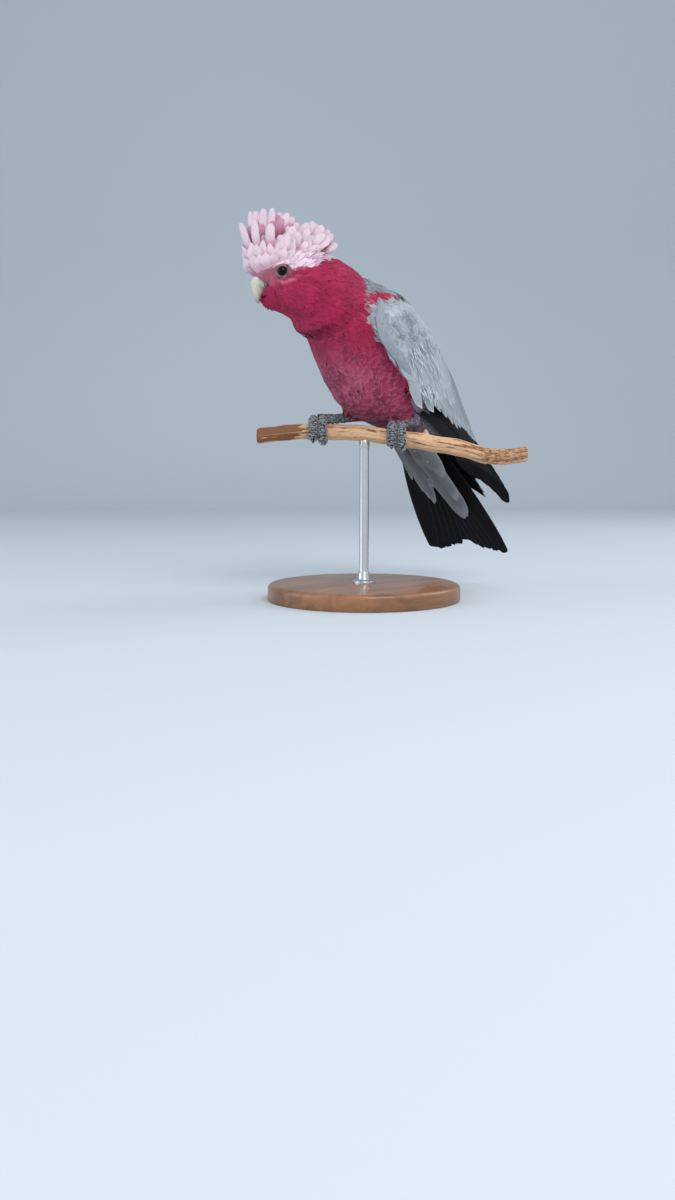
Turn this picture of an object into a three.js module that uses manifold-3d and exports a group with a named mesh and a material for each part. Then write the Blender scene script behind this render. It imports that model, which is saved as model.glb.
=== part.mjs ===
// A galah perched on a cut length of branch, life size, as a still display model.
// Millimetres, +Z up. The bird heads towards -Y, and its left side is towards +X.
// The origin is the centre of the underside of the stand's base.
import * as THREE from 'three';
import { mergeVertices } from 'three/addons/utils/BufferGeometryUtils.js';
import Module from 'manifold-3d';

const wasm = await Module();
wasm.setup();

// Driving dimensions. Places on the bird are measured from the middle of the grip,
// a point on the perch's centre line between the two feet.
const GAP = 0.3;
const PERCH_HEIGHT = 140;
const PERCH_TURN = THREE.MathUtils.degToRad(44);
const PERCH_RADIUS = 6.6;
const BASE_RADIUS = 82;
const BASE_THICKNESS = 14;
const BASE_EDGE = 2.5;
const ROD_RADIUS = 4;
const HEAD_TURN = THREE.MathUtils.degToRad(46);
const HEAD_PITCH = THREE.MathUtils.degToRad(6);
const EYE_RADIUS = 4.6;
const EYE_OUT = 12.9;
const TAIL_LENGTH = 144;
const TAIL_SPREAD = THREE.MathUtils.degToRad(12.2);
const TAIL_ROOT = 12;
const TAIL_SLOPE = THREE.MathUtils.degToRad(51.5);
const RECTRIX_WIDTH = 21;
const TOE_RADIUS = 3.3;

const COLOURS = {
  rose: 0xa63355,
  paleRose: 0xe9d3de,
  bill: 0xd6dac6,
  eye: 0x1a1412,
  wing: 0xa5b0b7,
  black: 0x14141a,
  covert: 0x7d8387,
  thigh: 0x8a5a6c,
  scale: 0x565a64,
  claw: 0x222124,
  branch: 0xcf9f76,
  rod: 0x9a9a98,
  base: 0x4d3424,
};

const at = (x, y, z) => new THREE.Vector3(x, y, z);
const across = at(1, 0, 0);

// A smooth curve through a few places.
const path = (...places) => new THREE.CatmullRomCurve3(places.map((p) => at(...p)));

// A number that changes smoothly along a part, through evenly spaced values.
function track(...values) {
  const curve = new THREE.SplineCurve(values.map((value, i) => new THREE.Vector2(i, value)));
  return (t) => curve.getPoint(t).y;
}

// How far a section has opened at t when the end is rounded over the given length.
function opening(t, length) {
  return t < length ? Math.sqrt(Math.max(0, 1 - (1 - t / length) ** 2)) : 1;
}

// A closed body of sections: each ring of a sphere is moved out to the section at its place.
// section(t) gives the centre and the vectors from it to the left, the back and the front.
function loft(section, { around = 20, along = 14, start = 0.2, end = 0.2 } = {}) {
  const geometry = new THREE.SphereGeometry(1, around, along);
  const points = geometry.attributes.position;
  for (let i = 0; i < points.count; i += 1) {
    const ring = Math.hypot(points.getX(i), points.getZ(i));
    const t = (1 - points.getY(i)) / 2;
    const open = ring < 1e-6 ? 0 : opening(t, start) * opening(1 - t, end) / ring;
    const { centre, left, back, front } = section(t);
    const side = points.getX(i) * open;
    const rise = points.getZ(i) * open;
    const place = centre.clone().addScaledVector(left, side);
    place.addScaledVector(rise > 0 ? back : front, Math.abs(rise));
    points.setXYZ(i, place.x, place.y, place.z);
  }
  return geometry;
}

// Sections square to a spine. The half sizes are grown by the clearance asked for.
function alongSpine(spine, sideAt, halves, grow = 0) {
  return (t) => {
    const tangent = spine.getTangent(t);
    const left = sideAt(t).addScaledVector(tangent, -sideAt(t).dot(tangent)).normalize();
    const up = left.clone().cross(tangent);
    return {
      centre: spine.getPoint(t),
      left: left.multiplyScalar(halves.side(t) + grow),
      back: up.clone().multiplyScalar(halves.back(t) + grow),
      front: up.multiplyScalar(-halves.front(t) - grow),
    };
  };
}

const round = (half) => ({ side: half, back: half, front: half });

// Sections between a front rail and a back rail, grown by the clearance asked for.
function betweenRails(front, back, sideAt, halfWidth, grow = 0) {
  return (t) => {
    const low = front.getPoint(t);
    const high = back.getPoint(t);
    const half = high.clone().sub(low).multiplyScalar(0.5);
    const depth = half.length();
    const left = sideAt(t).addScaledVector(half, -sideAt(t).dot(half) / depth ** 2).normalize();
    half.multiplyScalar((depth + grow) / depth);
    return {
      centre: low.add(high).multiplyScalar(0.5),
      left: left.multiplyScalar(halfWidth(t) + grow),
      back: half,
      front: half.clone().negate(),
    };
  };
}

// A thin vane between two edges, arched outwards between them.
function vane(edgeA, edgeB, arch, thickness, outward) {
  return (t) => {
    const a = edgeA.getPoint(t);
    const b = edgeB.getPoint(t);
    const half = b.clone().sub(a).multiplyScalar(0.5);
    const tangent = edgeA.getTangent(t).add(edgeB.getTangent(t));
    const normal = half.clone().cross(tangent).normalize();
    if (normal.dot(outward) < 0) normal.negate();
    return { centre: a.add(b).multiplyScalar(0.5), half, normal, arch: arch(t), thick: thickness(t) };
  };
}

function vaneBody(section, { around, along, start, end }, grow) {
  const geometry = new THREE.SphereGeometry(1, around, along);
  const points = geometry.attributes.position;
  for (let i = 0; i < points.count; i += 1) {
    const ring = Math.hypot(points.getX(i), points.getZ(i));
    const t = (1 - points.getY(i)) / 2;
    const open = opening(t, start) * opening(1 - t, end);
    const place = section(t);
    const side = ring < 1e-6 ? 0 : (points.getX(i) / ring) * open;
    const rise = ring < 1e-6 ? 0 : (points.getZ(i) / ring) * open;
    const width = place.half.length();
    const out = place.arch * (1 - side * side) + (place.thick + grow) * rise;
    const point = place.centre.clone().addScaledVector(place.half, side * (width + grow) / width);
    point.addScaledVector(place.normal, out);
    points.setXYZ(i, point.x, point.y, point.z);
  }
  return geometry;
}

// Solids for joining and cutting. Faces are turned outwards first, whatever the mapping did.
function solid(geometry) {
  const bare = geometry.clone();
  bare.deleteAttribute('normal');
  bare.deleteAttribute('uv');
  const merged = mergeVertices(bare, 1e-4);
  const place = merged.attributes.position;
  const corners = Array.from(merged.index.array);
  const a = at(0, 0, 0);
  const b = at(0, 0, 0);
  const c = at(0, 0, 0);
  let volume = 0;
  for (let i = 0; i < corners.length; i += 3) {
    a.fromBufferAttribute(place, corners[i]);
    b.fromBufferAttribute(place, corners[i + 1]);
    c.fromBufferAttribute(place, corners[i + 2]);
    volume += a.dot(b.cross(c));
  }
  if (volume < 0) corners.reverse();
  const mesh = new wasm.Mesh({
    numProp: 3,
    vertProperties: Float32Array.from(place.array),
    triVerts: Uint32Array.from(corners),
  });
  return new wasm.Manifold(mesh);
}

// The largest piece of a solid, as a geometry.
function geometryOf(body) {
  const pieces = body.decompose().sort((a, b) => b.volume() - a.volume());
  const mesh = pieces[0].getMesh();
  const geometry = new THREE.BufferGeometry();
  geometry.setAttribute('position', new THREE.BufferAttribute(mesh.vertProperties, 3));
  geometry.setIndex(new THREE.BufferAttribute(mesh.triVerts, 1));
  geometry.computeVertexNormals();
  return geometry;
}

const joined = (bodies) => bodies.reduce((whole, body) => whole.add(body));
const without = (body, ...cutters) => cutters.reduce((rest, cutter) => rest.subtract(cutter), body);

// Parts a body with a thin cut through a place, square to a direction.
function parted(body, direction, place) {
  const normal = direction.clone().normalize();
  const distance = place.dot(normal);
  const ahead = body.trimByPlane(normal.toArray(), distance + GAP / 2);
  const behind = body.trimByPlane(normal.clone().negate().toArray(), -distance + GAP / 2);
  return [ahead, behind];
}

const bird = new THREE.Group();
bird.position.z = PERCH_HEIGHT;
const galah = new THREE.Group();
galah.add(bird);

function addPart(group, name, geometry, colour, roughness = 0.8, metalness = 0) {
  const material = new THREE.MeshStandardMaterial({ color: colour, roughness, metalness });
  const mesh = new THREE.Mesh(geometry, material);
  mesh.name = name;
  group.add(mesh);
}

// The head's own frame: x ahead along the skull, y to its left, z up, from between the eyes.
const headFrame = new THREE.Matrix4()
  .makeTranslation(-23.8, -67.4, 122.6)
  .multiply(new THREE.Matrix4().makeRotationZ(-Math.PI / 2 - HEAD_TURN))
  .multiply(new THREE.Matrix4().makeRotationY(HEAD_PITCH));
const onHead = (ahead, left, up) => at(ahead, left, up).applyMatrix4(headFrame);
const headLeft = at(0, 1, 0).transformDirection(headFrame);
const headAhead = at(1, 0, 0).transformDirection(headFrame);

// Head and neck: one hood of feathers that ends in a crease over the breast.
const throatLine = path(
  [-39.4, -82.4, 105], [-34.6, -78, 96.6], [-28, -71.5, 93], [-24, -66.4, 89.6], [-22, -62.4, 87],
  [-22.5, -60, 81.5], [-19, -56, 73],
);
const crownLine = path(
  [-39.7, -82.8, 124.9], [-36.8, -80, 132], [-26, -69.5, 141], [-13.6, -56.2, 144], [-0.9, -41.2, 141.5],
  [9, -27, 133], [14, -14, 113],
);
const hoodWidth = track(4.5, 10, 15.5, 21.5, 27, 31, 33);
const hoodSide = (t) => headLeft.clone().lerp(across, THREE.MathUtils.smoothstep(t, 0.5, 1));
const hoodShape = { around: 16, along: 12, start: 0.12, end: 0.06 };
const hoodSection = (grow) => betweenRails(throatLine, crownLine, hoodSide, hoodWidth, grow);
const hood = (grow) => solid(loft(hoodSection(grow), hoodShape));

// Breast and belly in front, the back behind, down to the rump that carries the tail.
const breastLine = path(
  [-7, -55, 91], [-2, -54, 69], [0, -44, 48], [0, -32, 30], [0, -15, 15], [0, 8, 7], [0, 32, 3], [0, 52, -12],
  [0, 70, -34],
);
const backLine = path(
  [-2, -22, 121], [0, 8, 124], [0, 38, 110], [0, 61, 85], [0, 73, 57], [0, 80, 31], [0, 86, 7], [0, 94, -14],
  [0, 101, -34],
);
const trunkWidth = track(31, 36.5, 38, 38, 36, 32, 27, 20, 13);
const trunkShape = { around: 18, along: 13, start: 0.08, end: 0.2 };
const trunkSide = () => across.clone();
const trunkSection = (grow) => betweenRails(breastLine, backLine, trunkSide, trunkWidth, grow);
const trunk = (grow) => solid(loft(trunkSection(grow), trunkShape));

const tailAxis = at(0, Math.cos(TAIL_SLOPE), -Math.sin(TAIL_SLOPE));
const tailUp = at(0, Math.sin(TAIL_SLOPE), Math.cos(TAIL_SLOPE));
const vent = at(0, 55, 3);

// A place in the tail's own frame: along the tail from the vent, out to the left, and up off it.
function onTail(along, left, up) {
  const place = vent.clone().addScaledVector(tailAxis, along).addScaledVector(tailUp, up);
  place.x += left;
  return place;
}

// Each lobe of the coverts below the tail is a long soft cushion that narrows to a round tip.
function undertailLobe(sign, left, length, grow) {
  const spine = new THREE.CatmullRomCurve3([
    onTail(-12, sign * left * 0.6, -2),
    onTail(length * 0.3, sign * left * 0.9, -5),
    onTail(length * 0.65, sign * (left + 1), -3),
    onTail(length, sign * left, -1),
  ]);
  const halves = {
    side: track(11, 13, 11.5, 7),
    back: track(12, 9, 4, 1.2),
    front: track(14, 10, 4.5, 1.2),
  };
  const shape = { around: 10, along: 8, start: 0.2, end: 0.24 };
  return solid(loft(alongSpine(spine, trunkSide, halves, grow), shape));
}
const undertail = (grow) => undertailLobe(1, 13, 97, grow).add(undertailLobe(-1, 8, 80, grow));

// Tail feathers: a fan of blades, the middle ones on top and a little shorter.
function rectrix(place, grow) {
  const turn = place * TAIL_SPREAD;
  const length = TAIL_LENGTH - 14 * (1 - Math.abs(place)) ** 1.5;
  const start = 14;
  const lift = 6 - 1.5 * Math.abs(place);
  const spine = new THREE.CatmullRomCurve3([0, 0.35, 0.7, 1].map((share) => {
    const out = start + (length - start) * share;
    const left = place * TAIL_ROOT + out * Math.sin(turn);
    return onTail(out * Math.cos(turn), left, lift - 2.5 * share + (1 - share) * place * 2);
  }));
  const half = RECTRIX_WIDTH / 2;
  const halves = {
    side: track(half * 0.6, half * 0.9, half, half * 0.92),
    back: track(1.4, 1.2, 1, 0.8),
    front: track(1.4, 1.2, 1, 0.8),
  };
  const shape = { around: 6, along: 5, start: 0.1, end: 0.16 };
  return solid(loft(alongSpine(spine, trunkSide, halves, grow), shape));
}
const RECTRIX_PLACES = [-1, -0.66, -0.33, 0, 0.33, 0.66, 1];
const tail = (grow) => joined(RECTRIX_PLACES.map((place) => rectrix(place, grow)));

// The folded left wing: vanes between a front edge and a back edge. The right one is its mirror,
// swung out and lifted a little about the shoulder.
const shoulder = at(20, -20, 100);
const wingOut = at(0.8, 0.3, 0.5);
const coverLead = path(
  [26, -26, 101], [36, -30, 84], [38.5, -20, 65],
  [39.5, -4, 48], [40, 13, 33], [38, 36, 14],
);
const coverTrail = path(
  [10, 2, 121], [9, 38, 113], [7, 73, 90],
  [5, 101, 61], [4, 121, 30], [5, 148, -11],
);
const coverArch = track(6, 9.5, 11, 10, 7, 4);
const coverThick = track(3, 4.5, 5, 4.5, 3, 1.4);
const coverShape = { around: 12, along: 12, start: 0.16, end: 0.12 };
const quillLead = path(
  [35, 27, 21], [35, 52, 12], [31, 82, -5],
  [29, 101, -23], [25, 140, -40], [17, 182, -61.5],
);
const quillTrail = path(
  [8, 94, 52], [7, 115, 30], [8, 133, 4],
  [9, 154, -20], [9, 175, -41], [12, 189, -60.5],
);
const quillArch = track(3, 3, 2.5, 2, 1, 0);
const quillThick = track(1.6, 1.5, 1.3, 1.1, 0.9, 0.6);
const quillShape = { around: 8, along: 10, start: 0.1, end: 0.08 };
const coverVane = vane(coverLead, coverTrail, coverArch, coverThick, wingOut);
const quillVane = vane(quillLead, quillTrail, quillArch, quillThick, wingOut);
const RIGHT_SWING = THREE.MathUtils.degToRad(-0.4);
const RIGHT_LIFT = THREE.MathUtils.degToRad(1.4);

function wingPiece(sign, section, shape, grow) {
  const geometry = vaneBody(section, shape, grow);
  if (sign > 0) return solid(geometry);
  geometry.translate(-shoulder.x, -shoulder.y, -shoulder.z);
  geometry.rotateX(RIGHT_LIFT);
  geometry.rotateZ(RIGHT_SWING);
  geometry.translate(shoulder.x, shoulder.y, shoulder.z);
  return solid(geometry.scale(-1, 1, 1));
}

// Bill
const headAcross = () => headLeft.clone();
const upperSpine = new THREE.CatmullRomCurve3([
  onHead(10, 0, -4), onHead(16, 0, -2.5), onHead(20.5, 0, -5.5), onHead(22, 0, -12), onHead(21.5, 0, -20.5),
]);
const upperHalves = {
  side: track(7.4, 7.4, 6.2, 4, 0.8),
  back: track(8, 9, 8.2, 6.6, 0.9),
  front: track(7, 7, 5.6, 3.8, 0.9),
};
const upperShape = { around: 12, along: 10, start: 0.15, end: 0.1 };
const upperBill = (grow) => solid(loft(alongSpine(upperSpine, headAcross, upperHalves, grow), upperShape));
const lowerSpine = new THREE.CatmullRomCurve3([
  onHead(6, 0, -16), onHead(13, 0, -18), onHead(19.5, 0, -18.5),
]);
const lowerHalves = { side: track(5, 5.2, 3.6), back: track(3, 3.4, 2.4), front: track(3, 3.6, 2.6) };
const lowerShape = { around: 10, along: 6, start: 0.2, end: 0.25 };
const lowerBill = (grow) => solid(loft(alongSpine(lowerSpine, headAcross, lowerHalves, grow), lowerShape));

// The feathers of the face stop short of the bill in a notch that leaves its sides bare.
const NOTCH_TURN = THREE.MathUtils.degToRad(29);
const notch = new THREE.BoxGeometry(24, 40, 24)
  .translate(12, 0, -12)
  .rotateY(-NOTCH_TURN)
  .translate(12, 0, -8.6)
  .applyMatrix4(headFrame);

function eyeBall(sign, grow) {
  const ball = new THREE.SphereGeometry(EYE_RADIUS + grow, 10, 8);
  const centre = onHead(0, sign * EYE_OUT, 0);
  return solid(ball.translate(centre.x, centre.y, centre.z));
}

// Crest plumes: places ahead, left and up in the head's frame, from base to tip. Each is a petal
// with its broad side turned outwards.
function plume(base, tip, width, grow) {
  const spine = new THREE.CatmullRomCurve3([
    onHead(...base),
    onHead(...base).lerp(onHead(...tip), 0.5).addScaledVector(headAhead, 2.5),
    onHead(...tip),
  ]);
  const halves = {
    side: track(width * 0.8, width, width * 0.9),
    back: track(2.6, 2.4, 1.6),
    front: track(2.6, 2.4, 1.6),
  };
  const side = () => headAhead.clone().addScaledVector(headLeft, -0.25 * Math.sign(tip[1]));
  return solid(loft(alongSpine(spine, side, halves, grow), { around: 6, along: 5, start: 0.3, end: 0.26 }));
}

const FRONT_PLUMES = [
  [[20, 0, 5], [32, 0, 40], 4.2],
  [[17, 4, 9], [28, 7, 43], 4.2],
  [[17, -4, 9], [22, -6, 52], 4.2],
  [[12, 5, 13], [19, 11, 42], 4.6],
  [[11, -1, 14], [12, -1, 51.5], 4.6],
  [[7, 6, 14], [7, 12, 40], 4.6],
  [[5, -5, 15], [5, -9, 49], 4.6],
  [[4, 2, 16], [3.5, 3, 52], 4.6],
  [[-3, 1, 17], [-5, 1, 48.5], 5],
  [[-8, 1, 18], [-12.5, 2, 42.5], 5],
];
const REAR_PLUMES = [
  [[-13, -2, 17], [-20, -4, 34.5], 4.6],
  [[-15, 3, 17], [-27, 3, 36], 4.8],
  [[-18, 0, 16], [-33.5, -1, 32], 4.8],
  [[-20, 2, 15], [-39.5, 3, 26], 4.6],
  [[-22, -1, 14], [-45, -1, 19.5], 4.4],
];
const FRONT_PAD = [[22, 0, 2], [15, 0, 10], [4, 0, 15], [-9, 0, 17]];
const REAR_PAD = [[-10.5, 0, 17], [-18, 0, 15], [-26, 0, 11]];
function pad(places, grow) {
  const line = new THREE.CatmullRomCurve3(places.map((place) => onHead(...place)));
  const halves = { side: track(5, 9.5, 9), back: track(4.5, 7, 7), front: track(4.5, 7, 7) };
  const shape = { around: 10, along: 7, start: 0.2, end: 0.2 };
  return solid(loft(alongSpine(line, headAcross, halves, grow), shape));
}
const crest = (plumes, places, grow) => joined(
  [pad(places, grow), ...plumes.map(([base, tip, width]) => plume(base, tip, width, grow))]);

const face = without(hood(0), solid(notch), upperBill(GAP), lowerBill(GAP));
const hoodCut = without(face, eyeBall(1, GAP), eyeBall(-1, GAP));
const [head, neck] = parted(hoodCut, headAhead.clone().add(at(0, 0, 0.3)), onHead(-17, 0, -6));
addPart(bird, 'head', geometryOf(head), COLOURS.rose);
addPart(bird, 'neck', geometryOf(neck), COLOURS.rose);
addPart(bird, 'bill_upper', geometryOf(upperBill(0)), COLOURS.bill, 0.5);
addPart(bird, 'bill_lower', geometryOf(without(lowerBill(0), upperBill(GAP))), COLOURS.bill, 0.5);
addPart(bird, 'eye_left', geometryOf(eyeBall(1, 0)), COLOURS.eye, 0.1);
addPart(bird, 'eye_right', geometryOf(eyeBall(-1, 0)), COLOURS.eye, 0.1);
const crestFront = crest(FRONT_PLUMES, FRONT_PAD, 0);
addPart(bird, 'crest_front', geometryOf(without(crestFront, hood(GAP), upperBill(GAP))), COLOURS.paleRose);
const crestRear = without(crest(REAR_PLUMES, REAR_PAD, 0), hood(GAP), crest(FRONT_PLUMES, FRONT_PAD, GAP));
addPart(bird, 'crest_rear', geometryOf(crestRear), COLOURS.paleRose);

// The perch, in its own frame: along it, out to the front of the bird, and up.
const perchAlong = at(Math.cos(PERCH_TURN), Math.sin(PERCH_TURN), 0);
const perchOut = at(Math.sin(PERCH_TURN), -Math.cos(PERCH_TURN), 0);
const onPerch = (along, out, up) => perchAlong.clone().multiplyScalar(along)
  .addScaledVector(perchOut, out).add(at(0, 0, up));
const perchLine = new THREE.CatmullRomCurve3([
  onPerch(-90, 0, -2), onPerch(-54, 0, 1.5), onPerch(-27, 0, 1), onPerch(0, 0, 0), onPerch(28, 0, -4),
  onPerch(55, 0, -8), onPerch(80, 0, -12), onPerch(100, 0, -18), onPerch(119, 0, -19.5), onPerch(136, 0, -17),
]);
const perchHalves = round(track(6.4, PERCH_RADIUS, PERCH_RADIUS, 6.8, 7.2, 6.8, 6.3));
const perchShape = { around: 10, along: 16, start: 0.006, end: 0.006 };
const perchSection = (grow) => alongSpine(perchLine, () => perchOut.clone(), perchHalves, grow);
const perch = (grow) => solid(loft(perchSection(grow), perchShape));

// How high the perch's centre line is at a place along it.
function perchRise(along) {
  let nearest = perchLine.getPoint(0);
  for (let step = 0; step <= 1; step += 0.01) {
    const place = perchLine.getPoint(step);
    if (Math.abs(place.dot(perchAlong) - along) < Math.abs(nearest.dot(perchAlong) - along)) nearest = place;
  }
  return nearest.z;
}

// A toe curls round the perch between two angles, measured up from the side it lies on.
const RING = PERCH_RADIUS + TOE_RADIUS + 2 * GAP;
function curl(along, lean, side, from, to, radius) {
  const turns = [0, 0.25, 0.5, 0.75, 1];
  return new THREE.CatmullRomCurve3(turns.map((share) => {
    const angle = THREE.MathUtils.degToRad(from + (to - from) * share);
    const place = along + lean * share;
    const rise = perchRise(place) + radius * Math.sin(angle);
    return onPerch(place, side * radius * Math.cos(angle), rise);
  }));
}

const toeHalf = track(TOE_RADIUS, TOE_RADIUS * 0.95, TOE_RADIUS * 1.02, TOE_RADIUS * 0.85);
function toe(along, lean, side, reach, grow) {
  const line = curl(along, lean, side, 74, 74 - reach, RING);
  return solid(loft(alongSpine(line, () => perchAlong.clone(), round(toeHalf), grow),
    { around: 8, along: 6, start: 0.1, end: 0.14 }));
}
function claw(along, side, from) {
  const line = curl(along, 0, side, from, from - 48, RING - 1.2);
  return solid(loft(alongSpine(line, () => perchAlong.clone(), round(track(2.1, 1.7, 1.1, 0.35))),
    { around: 6, along: 5, start: 0.12, end: 0.1 }));
}

// Two toes in front and two behind, as in all parrots: name, place beside the middle, lean, side, reach.
const TOES = [
  ['toe_2', -3.7, -0.6, 1, 112],
  ['toe_3', 3.7, 0.4, 1, 126],
  ['toe_1', -3.7, -1, -1, 84],
  ['toe_4', 3.7, 1.5, -1, 94],
];
const GRIP = { right: -38.5, left: 27 };
const toesOf = (side, grow) => TOES.map(
  ([, beside, lean, front, reach]) => toe(GRIP[side] + beside, lean, front, reach, grow));
const feet = [perch(GAP), ...toesOf('right', GAP), ...toesOf('left', GAP)];

// The feathered thighs stand out of the belly, each down to its ankle.
const ANKLE = { right: at(-14, 1, 12.5), left: at(26, 37, 11) };
const HIP = { right: at(-20, 24, 44), left: at(21, 26, 44) };
function thigh(side, grow) {
  const middle = HIP[side].clone().lerp(ANKLE[side], 0.6);
  const line = new THREE.CatmullRomCurve3([HIP[side], middle, ANKLE[side].clone().add(at(0, 1, 2))]);
  const shape = { around: 10, along: 7, start: 0.4, end: 0.16 };
  return solid(loft(alongSpine(line, trunkSide, round(track(15, 13, 6.2)), grow), shape));
}

const body = without(trunk(0), hood(GAP), thigh('left', GAP), thigh('right', GAP), ...feet);
const [back, breast] = parted(body, at(0, 0.916, 0.4), at(0, 38, 5));
addPart(bird, 'trunk', geometryOf(breast), COLOURS.rose);
addPart(bird, 'back', geometryOf(back), COLOURS.covert);
addPart(bird, 'undertail_coverts', geometryOf(without(undertail(0), trunk(GAP), perch(GAP))), COLOURS.covert);
addPart(bird, 'tail', geometryOf(without(tail(0), undertail(GAP), trunk(GAP))), COLOURS.black);

const coverBlock = without(wingPiece(1, coverVane, coverShape, GAP), trunk(0));
for (const [side, sign] of [['left', 1], ['right', -1]]) {
  const cover = without(wingPiece(sign, coverVane, coverShape, 0), trunk(GAP), hood(GAP));
  const quills = without(
    wingPiece(sign, quillVane, quillShape, 0), trunk(GAP), wingPiece(sign, coverVane, coverShape, GAP));
  const clear = sign < 0 ? without(cover, coverBlock) : cover;
  const [secondaries, coverts] = parted(clear, at(0, 0.55, -0.83), at(0, 56, 42));
  addPart(bird, `wing_${side}_coverts`, geometryOf(coverts), COLOURS.wing);
  addPart(bird, `wing_${side}_secondaries`, geometryOf(secondaries), COLOURS.wing);
  addPart(bird, `wing_${side}_primaries`, geometryOf(quills), COLOURS.black);
}

for (const side of ['right', 'left']) {
  const grip = GRIP[side];
  const ankle = ANKLE[side];
  const knuckle = onPerch(grip, 0, perchRise(grip) + PERCH_RADIUS + 2 * GAP + 3.4);
  const middle = knuckle.clone().lerp(ankle, 0.5).add(at(0, 0, 0.6));
  const shank = new THREE.CatmullRomCurve3([knuckle, middle, ankle]);
  const shankHalves = { side: track(6.2, 3.8, 4.4), back: track(3, 3.4, 4), front: track(3, 3.4, 4) };
  const leg = solid(loft(alongSpine(shank, () => perchAlong.clone(), shankHalves),
    { around: 10, along: 10, start: 0.2, end: 0.2 }));
  const bareLeg = without(leg, perch(GAP), ...toesOf(side, GAP), trunk(GAP), thigh(side, GAP));
  addPart(bird, `tarsus_${side}`, geometryOf(bareLeg), COLOURS.scale);
  const underWing = wingPiece(side === 'left' ? 1 : -1, coverVane, coverShape, GAP);
  const bareThigh = without(thigh(side, 0), ...feet, undertail(GAP), underWing);
  addPart(bird, `thigh_${side}`, geometryOf(bareThigh), COLOURS.thigh);
  for (const [name, beside, lean, front, reach] of TOES) {
    const end = 74 - reach;
    addPart(bird, `${name}_${side}`, geometryOf(toe(grip + beside, lean, front, reach, 0)), COLOURS.scale);
    const point = claw(grip + beside + lean, front, end - 2);
    addPart(bird, `claw_${name.slice(4)}_${side}`, geometryOf(point), COLOURS.claw, 0.4);
  }
}

// Branch and stand
addPart(bird, 'perch', geometryOf(perch(0)), COLOURS.branch);

const rodLength = PERCH_HEIGHT - BASE_THICKNESS - GAP;
const rodGeometry = new THREE.CylinderGeometry(ROD_RADIUS, ROD_RADIUS, rodLength, 16);
rodGeometry.rotateX(Math.PI / 2);
rodGeometry.translate(0, 0, -rodLength / 2);
addPart(bird, 'stand_rod', geometryOf(without(solid(rodGeometry), perch(GAP))), COLOURS.rod, 0.35, 0.9);

const baseProfile = [
  new THREE.Vector2(0, 0),
  new THREE.Vector2(BASE_RADIUS, 0),
  new THREE.Vector2(BASE_RADIUS, BASE_THICKNESS - BASE_EDGE),
  new THREE.Vector2(BASE_RADIUS - BASE_EDGE * 0.3, BASE_THICKNESS - BASE_EDGE * 0.3),
  new THREE.Vector2(BASE_RADIUS - BASE_EDGE, BASE_THICKNESS),
  new THREE.Vector2(0, BASE_THICKNESS),
];
const base = new THREE.LatheGeometry(baseProfile, 24).rotateX(Math.PI / 2);
addPart(galah, 'stand_base', geometryOf(solid(base)), COLOURS.base, 0.5);

export default galah;
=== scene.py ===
"""A life-size galah with its crest raised, on a cut branch held by a plain display stand."""

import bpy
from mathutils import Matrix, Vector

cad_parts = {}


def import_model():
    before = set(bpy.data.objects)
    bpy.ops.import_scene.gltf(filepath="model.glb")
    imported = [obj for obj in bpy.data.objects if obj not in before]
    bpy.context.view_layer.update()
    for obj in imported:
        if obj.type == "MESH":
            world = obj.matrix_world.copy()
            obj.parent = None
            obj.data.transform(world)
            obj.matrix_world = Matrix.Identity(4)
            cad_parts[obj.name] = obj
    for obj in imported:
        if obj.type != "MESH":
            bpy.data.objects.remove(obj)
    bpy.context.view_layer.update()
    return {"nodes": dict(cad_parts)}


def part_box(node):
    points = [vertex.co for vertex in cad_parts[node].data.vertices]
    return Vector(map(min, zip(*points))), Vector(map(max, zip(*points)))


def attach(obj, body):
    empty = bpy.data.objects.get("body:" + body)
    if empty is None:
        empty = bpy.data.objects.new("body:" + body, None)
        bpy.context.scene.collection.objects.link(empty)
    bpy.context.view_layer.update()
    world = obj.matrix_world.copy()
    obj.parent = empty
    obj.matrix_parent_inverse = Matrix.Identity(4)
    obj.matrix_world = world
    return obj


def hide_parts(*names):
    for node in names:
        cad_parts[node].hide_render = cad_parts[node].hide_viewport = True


bl_info = {
    "name": "Galah Display Model",
    "version": (1, 0, 0),
    "blender": (4, 5, 0),
    "location": "View3D > Sidebar > Galah",
    "description": "Feathers, bill, eyes, feet, perch and stand of a still galah",
    "category": "Object",
}

import math

import bmesh
import bpy
import numpy as np
from bpy.props import FloatProperty, FloatVectorProperty, IntProperty, PointerProperty
from mathutils import Matrix, Vector
from mathutils.bvhtree import BVHTree
from mathutils.kdtree import KDTree

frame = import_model()
NODES = frame["nodes"]
MM = 0.001
SIDES = ("left", "right")

# Places on the bird are in millimetres from the middle of the grip: x to the bird's left, y to its
# back, z up.
GRIP_MIDDLE = np.array([0, 0, 0.140])
LEFT = np.array([1, 0, 0])
UPRIGHT = np.array([0, 0, 1])
PERCH_TURN = math.radians(44)
PERCH_RADIUS = 6.6


def unit(vectors):
    """Vectors along the last axis, each made one long."""
    vectors = np.asarray(vectors, float)
    return vectors / np.maximum(np.linalg.norm(vectors, axis=-1, keepdims=True), 1e-12)


def smoothstep(low, high, value):
    share = np.clip((np.asarray(value, float) - low) / (high - low), 0, 1)
    return share * share * (3 - 2 * share)


def bell(off, width):
    """1 at no distance, falling away over a width."""
    return np.exp(-((off / width) ** 2))


def blend(first, second, share):
    share = np.asarray(share, float)
    return np.asarray(first, float) * (1 - share) + np.asarray(second, float) * share


def track(values, share):
    """A value that changes evenly along a part, read at each share of its length."""
    return np.interp(share, np.linspace(0, 1, len(values)), values)


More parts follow.
